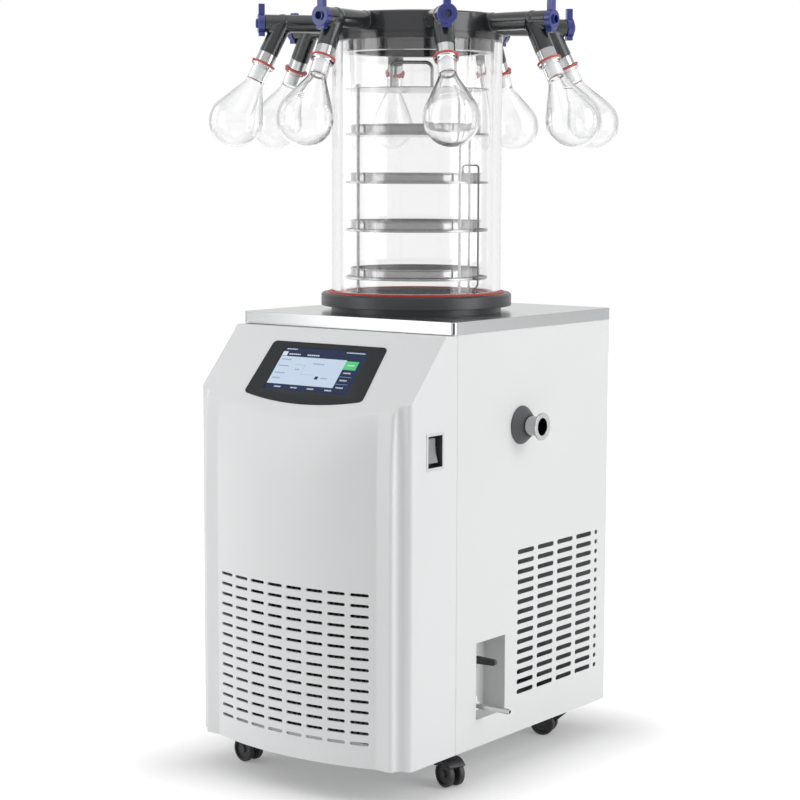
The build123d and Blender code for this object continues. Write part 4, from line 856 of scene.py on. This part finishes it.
def coverSlope(across, down):
    # slope and roof as one grid: rows that close up towards the crease, rows up the slope, two rows over the roof
    v = cover
    start = (v["top"] - creaseHeight(across)) * slopeLength / v["slopeRise"]
    spare = start - down[-1]
    near = np.minimum(spare / (nearCrease[-1] + 0.9), 1.0)    # closer together where the slope is short
    last = nearCrease[-1] * near
    rows = [start - t * near for t in (0.0, *nearCrease)]
    rows += [start - last - (spare - last) * t for t in (1 / 3, 2 / 3, 1)]
    rows += [np.full(len(across), t) for t in down[-2::-1]]
    z = v["top"] - np.array(rows) * v["slopeRise"] / slopeLength
    roof = np.array([[v["roofMiddle"]], [v["back"]]]) + np.zeros(len(across))
    y = np.concatenate([-coverDepth(across[None], z), -roof])
    z = np.concatenate([z, np.full(roof.shape, v["top"])])
    return np.stack([np.broadcast_to(across, z.shape), y, z], -1).reshape(-1, 3), gridFaces(*z.shape)


def coverShape():
    # down: lengths down the slope from its upper edge, at which the sides have columns and the slope has rows
    slots = coverSlots()
    across = coverColumns(slots)
    places = np.array([*switchHole["depth"], cover["cheek"] - cover["cornerRadius"]])
    holeStart, holeEnd, last = (places - cover["slopeTop"]) * slopeLength / cover["slopeRun"]
    down = np.array([0, 3, holeStart, 30, 48, holeEnd, 80, 95, last])
    return gathered([coverFront(slots, across, down), coverSlope(across, down)])


def frontCover():
    # the outer skin, thickened inwards, with small rounds on its edges
    obj = tidyMesh(makeObject("frontCover", *coverShape()), outward=False)
    wall = obj.modifiers.new("wall", "SOLIDIFY")
    wall.thickness, wall.offset, wall.use_even_offset = cover["wall"] * mm, -1.0, True
    return soften(obj, 0.35, degrees=38.0)


# solids dressed as they are, each with the width of its rounded edges
dressed = {
    "side_panel_right": 0.4, "side_panel_left": 0.4, "worktop": 1.0, "screen_bezel": 0.5,
    "rack_top": 0.3, "probe_lead": 0.0, "drain_spout": 0.3, "base_pan": 0.5, "rear_panel": 0.3,
    "switch_housing": 0.3, "power_rocker": 0.6, "drain_pocket": 0.5, "drain_valve": 0.5, "drain_lever": 0.8,
    "power_inlet": 0.4, "condenser": 0.15, "fan_shroud": 0.3, "fan_blades": 0.3, "compressor": 0.4, "trap_pot": 0.3,
}
dressed |= {f"valve_knob_{n}": 0.7 for n in range(1, 9)}
dressed |= {f"caster_fork_{n}": 0.5 for n in range(1, 5)} | {f"caster_wheel_{n}": 0.4 for n in range(1, 5)}
pierced = {"side_panel_right", "side_panel_left", "rear_panel"}    # their flat areas stay divided
for name, obj in nodes.items():
    obj.data.materials.clear()
    obj.data.materials.append(finishes[slotOf[name]])
for name, width in dressed.items():
    slotName = slotOf[name]
    place(dressedCopy(name, width, whole=name not in pierced), finishes[slotName], bodyOf[name], slotName, name)
print("solids dressed:", len(dressed))

armShape = gathered([aroundLid(armTube()), aroundLid(branchTube()), aroundLid(core())])
finished("stopcockArms", armShape, "lid_plastic", "cabinet", "valve_arms", finish=armFinish)
finished("groundCones", aroundLid(groundCone()), "lid_plastic", "cabinet", finish=coneFinish)
finished("branchCollars", aroundLid(collarRing()), "collar_steel", "cabinet", "branch_collars")
finished("flaskSeals", aroundLid(sealRing()), "red_rubber", "cabinet", "flask_seals", finish=sealFinish)
for number, angle in enumerate(armAngles, 1):
    points, faces = flaskGlass()
    finished(f"flask{number}Glass", (points @ turnZ(angle).T, faces), "flask_glass", "cabinet", f"flask_{number}")
finished("manifoldLid", lidShape(), "lid_plastic", "cabinet", "manifold_lid")
finished("chamberRing", ringShape(), "ring_metal", "cabinet", "chamber_ring")
finished("ringGasket", hoop(**gasket, round=1.0), "red_rubber", "cabinet", "ring_gasket")
finished("chamberWall", hoop(**cylinder, round=0.6), "chamber_acrylic", "cabinet", "chamber_cylinder")
finished("shelfRack", rackShape(), "rack_steel", "cabinet", "rack_frame")
for number, level in enumerate(rack["levels"], 1):
    finished(f"tray{number}Pan", trayShape(level), "tray_steel", "cabinet", f"tray_{number}")
finished("vacuumPortPipe", portShape(), "port_steel", "cabinet", "vacuum_port")
finished("portGrommetCone", grommetShape(), "grommet_rubber", "cabinet", "port_grommet")
place(frontCover(), finishes["cover_plastic"], "cabinet", "cover_plastic", "front_cover")
print("turned pieces and cover made")


# in metres, degrees and millimetres of focal length
cameraPlace = {"place": (1.7977, -2.4088, 0.8664), "azimuth": 37.19, "dip": 6.41, "roll": 0.16, "lens": 90.33}


def makeCamera(place, azimuth, dip, roll, lens):
    # looks along a compass direction, dipped below the horizon and rolled a little
    a, p, r = (math.radians(v) for v in (azimuth, dip, roll))
    ahead = np.array([-math.sin(a) * math.cos(p), math.cos(a) * math.cos(p), -math.sin(p)])
    right = np.array([math.cos(a), math.sin(a), 0.0])
    up = np.cross(right, ahead)
    axes = np.eye(4)
    axes[:3, 0] = right * math.cos(r) + up * math.sin(r)
    axes[:3, 1] = up * math.cos(r) - right * math.sin(r)
    axes[:3, 2] = -ahead
    axes[:3, 3] = place
    data = bpy.data.cameras.new("camera")
    data.lens, data.sensor_width, data.clip_end = lens, 36.0, 50.0
    obj = bpy.data.objects.new("camera", data)
    bpy.context.scene.collection.objects.link(obj)
    obj.matrix_world = Matrix(axes.tolist())
    bpy.context.scene.camera = obj


# studio lamps: compass direction, height and distance in metres; shows = seen in reflections
lights = {
    "left": {"azimuth": -29.0, "height": 1.15, "distance": 2.3, "size": (0.95, 2.4), "watts": 13.5},
    "farLeft": {"azimuth": -72.0, "height": 1.3, "distance": 2.3, "size": (1.3, 2.0), "watts": 18.0,
                "shows": False},
    "right": {"azimuth": 101.0, "height": 1.15, "distance": 2.2, "size": (1.3, 2.4), "watts": 28.5},
    "top": {"azimuth": 20.0, "height": 3.2, "distance": 0.9, "size": (2.6, 2.6), "watts": 14.0},
}


def makeLight(name, azimuth, height, distance, size, watts, shows=True, aim=(0.0, 0.0, 0.6)):
    # a soft rectangle facing the object
    a = math.radians(azimuth)
    data = bpy.data.lights.new("light_" + name, "AREA")
    data.shape, data.size, data.size_y, data.energy = "RECTANGLE", size[0], size[1], watts
    obj = bpy.data.objects.new("light_" + name, data)
    bpy.context.scene.collection.objects.link(obj)
    obj.visible_glossy = shows
    spot = Vector((distance * math.sin(a), -distance * math.cos(a), height))
    obj.location = spot
    obj.rotation_euler = (Vector(aim) - spot).to_track_quat("-Z", "Y").to_euler()


def makeWorld(fill=0.36):
    # white to the eye and in reflections, softer as a light on the object
    f = Finish("world", world=True)
    level = f.wire("MapRange", {}, {"Value": f.seen(), "To Min": fill, "To Max": 1.0})
    bpy.context.scene.world = f.show(f.node("Background", {}, {"Color": (1.0, 1.0, 1.0), "Strength": level}))


# the floor's own light and, in metres, its reach, the cabinet's outline on it and the shadow's fading
floorPlan = {"reach": 6.0, "glow": 0.12, "strength": 1.5, "halfWidth": 0.17, "middle": -0.03, "halfDepth": 0.25,
             "fade": (-0.02, 0.34)}


def makeFloor():
    # pale floor that keeps the contact shadow; away from the cabinet its white is its own light
    v = floorPlan
    f = Finish("studioFloor")
    matt = f.node("BsdfDiffuse", {}, {"Color": f.blend(f.noise(0.6), (0.86, 0.86, 0.86), (0.9, 0.9, 0.9))})
    own = f.node("Emission", {}, {"Color": (1.0, 1.0, 1.0), "Strength": v["strength"]})
    # distance from the cabinet's outline
    beside = (f.axis("X").math("ABSOLUTE") - v["halfWidth"]).math("MAXIMUM", 0.0)
    along = ((f.axis("Y") - v["middle"]).math("ABSOLUTE") - v["halfDepth"]).math("MAXIMUM", 0.0)
    far = (beside * beside + along * along).math("SQRT").rise(*v["fade"])
    share = f.seen() * (v["glow"] + far * (1.0 - v["glow"]))
    mix = f.node("MixShader", {}, {0: share, 1: matt.outputs[0], 2: own.outputs[0]})
    u = np.linspace(-v["reach"], v["reach"], 9) / mm
    x, y = np.meshgrid(u, u)
    floor = makeObject("floor", np.stack([x.ravel(), y.ravel(), np.zeros(x.size)], 1), gridFaces(9, 9), False)
    floor.data.materials.append(f.show(mix))


makeCamera(**cameraPlace)
for name, values in lights.items():
    makeLight(name, **values)
makeWorld()
makeFloor()
bpy.context.scene.view_settings.view_transform = "Standard"
print("camera, lights and floor made")
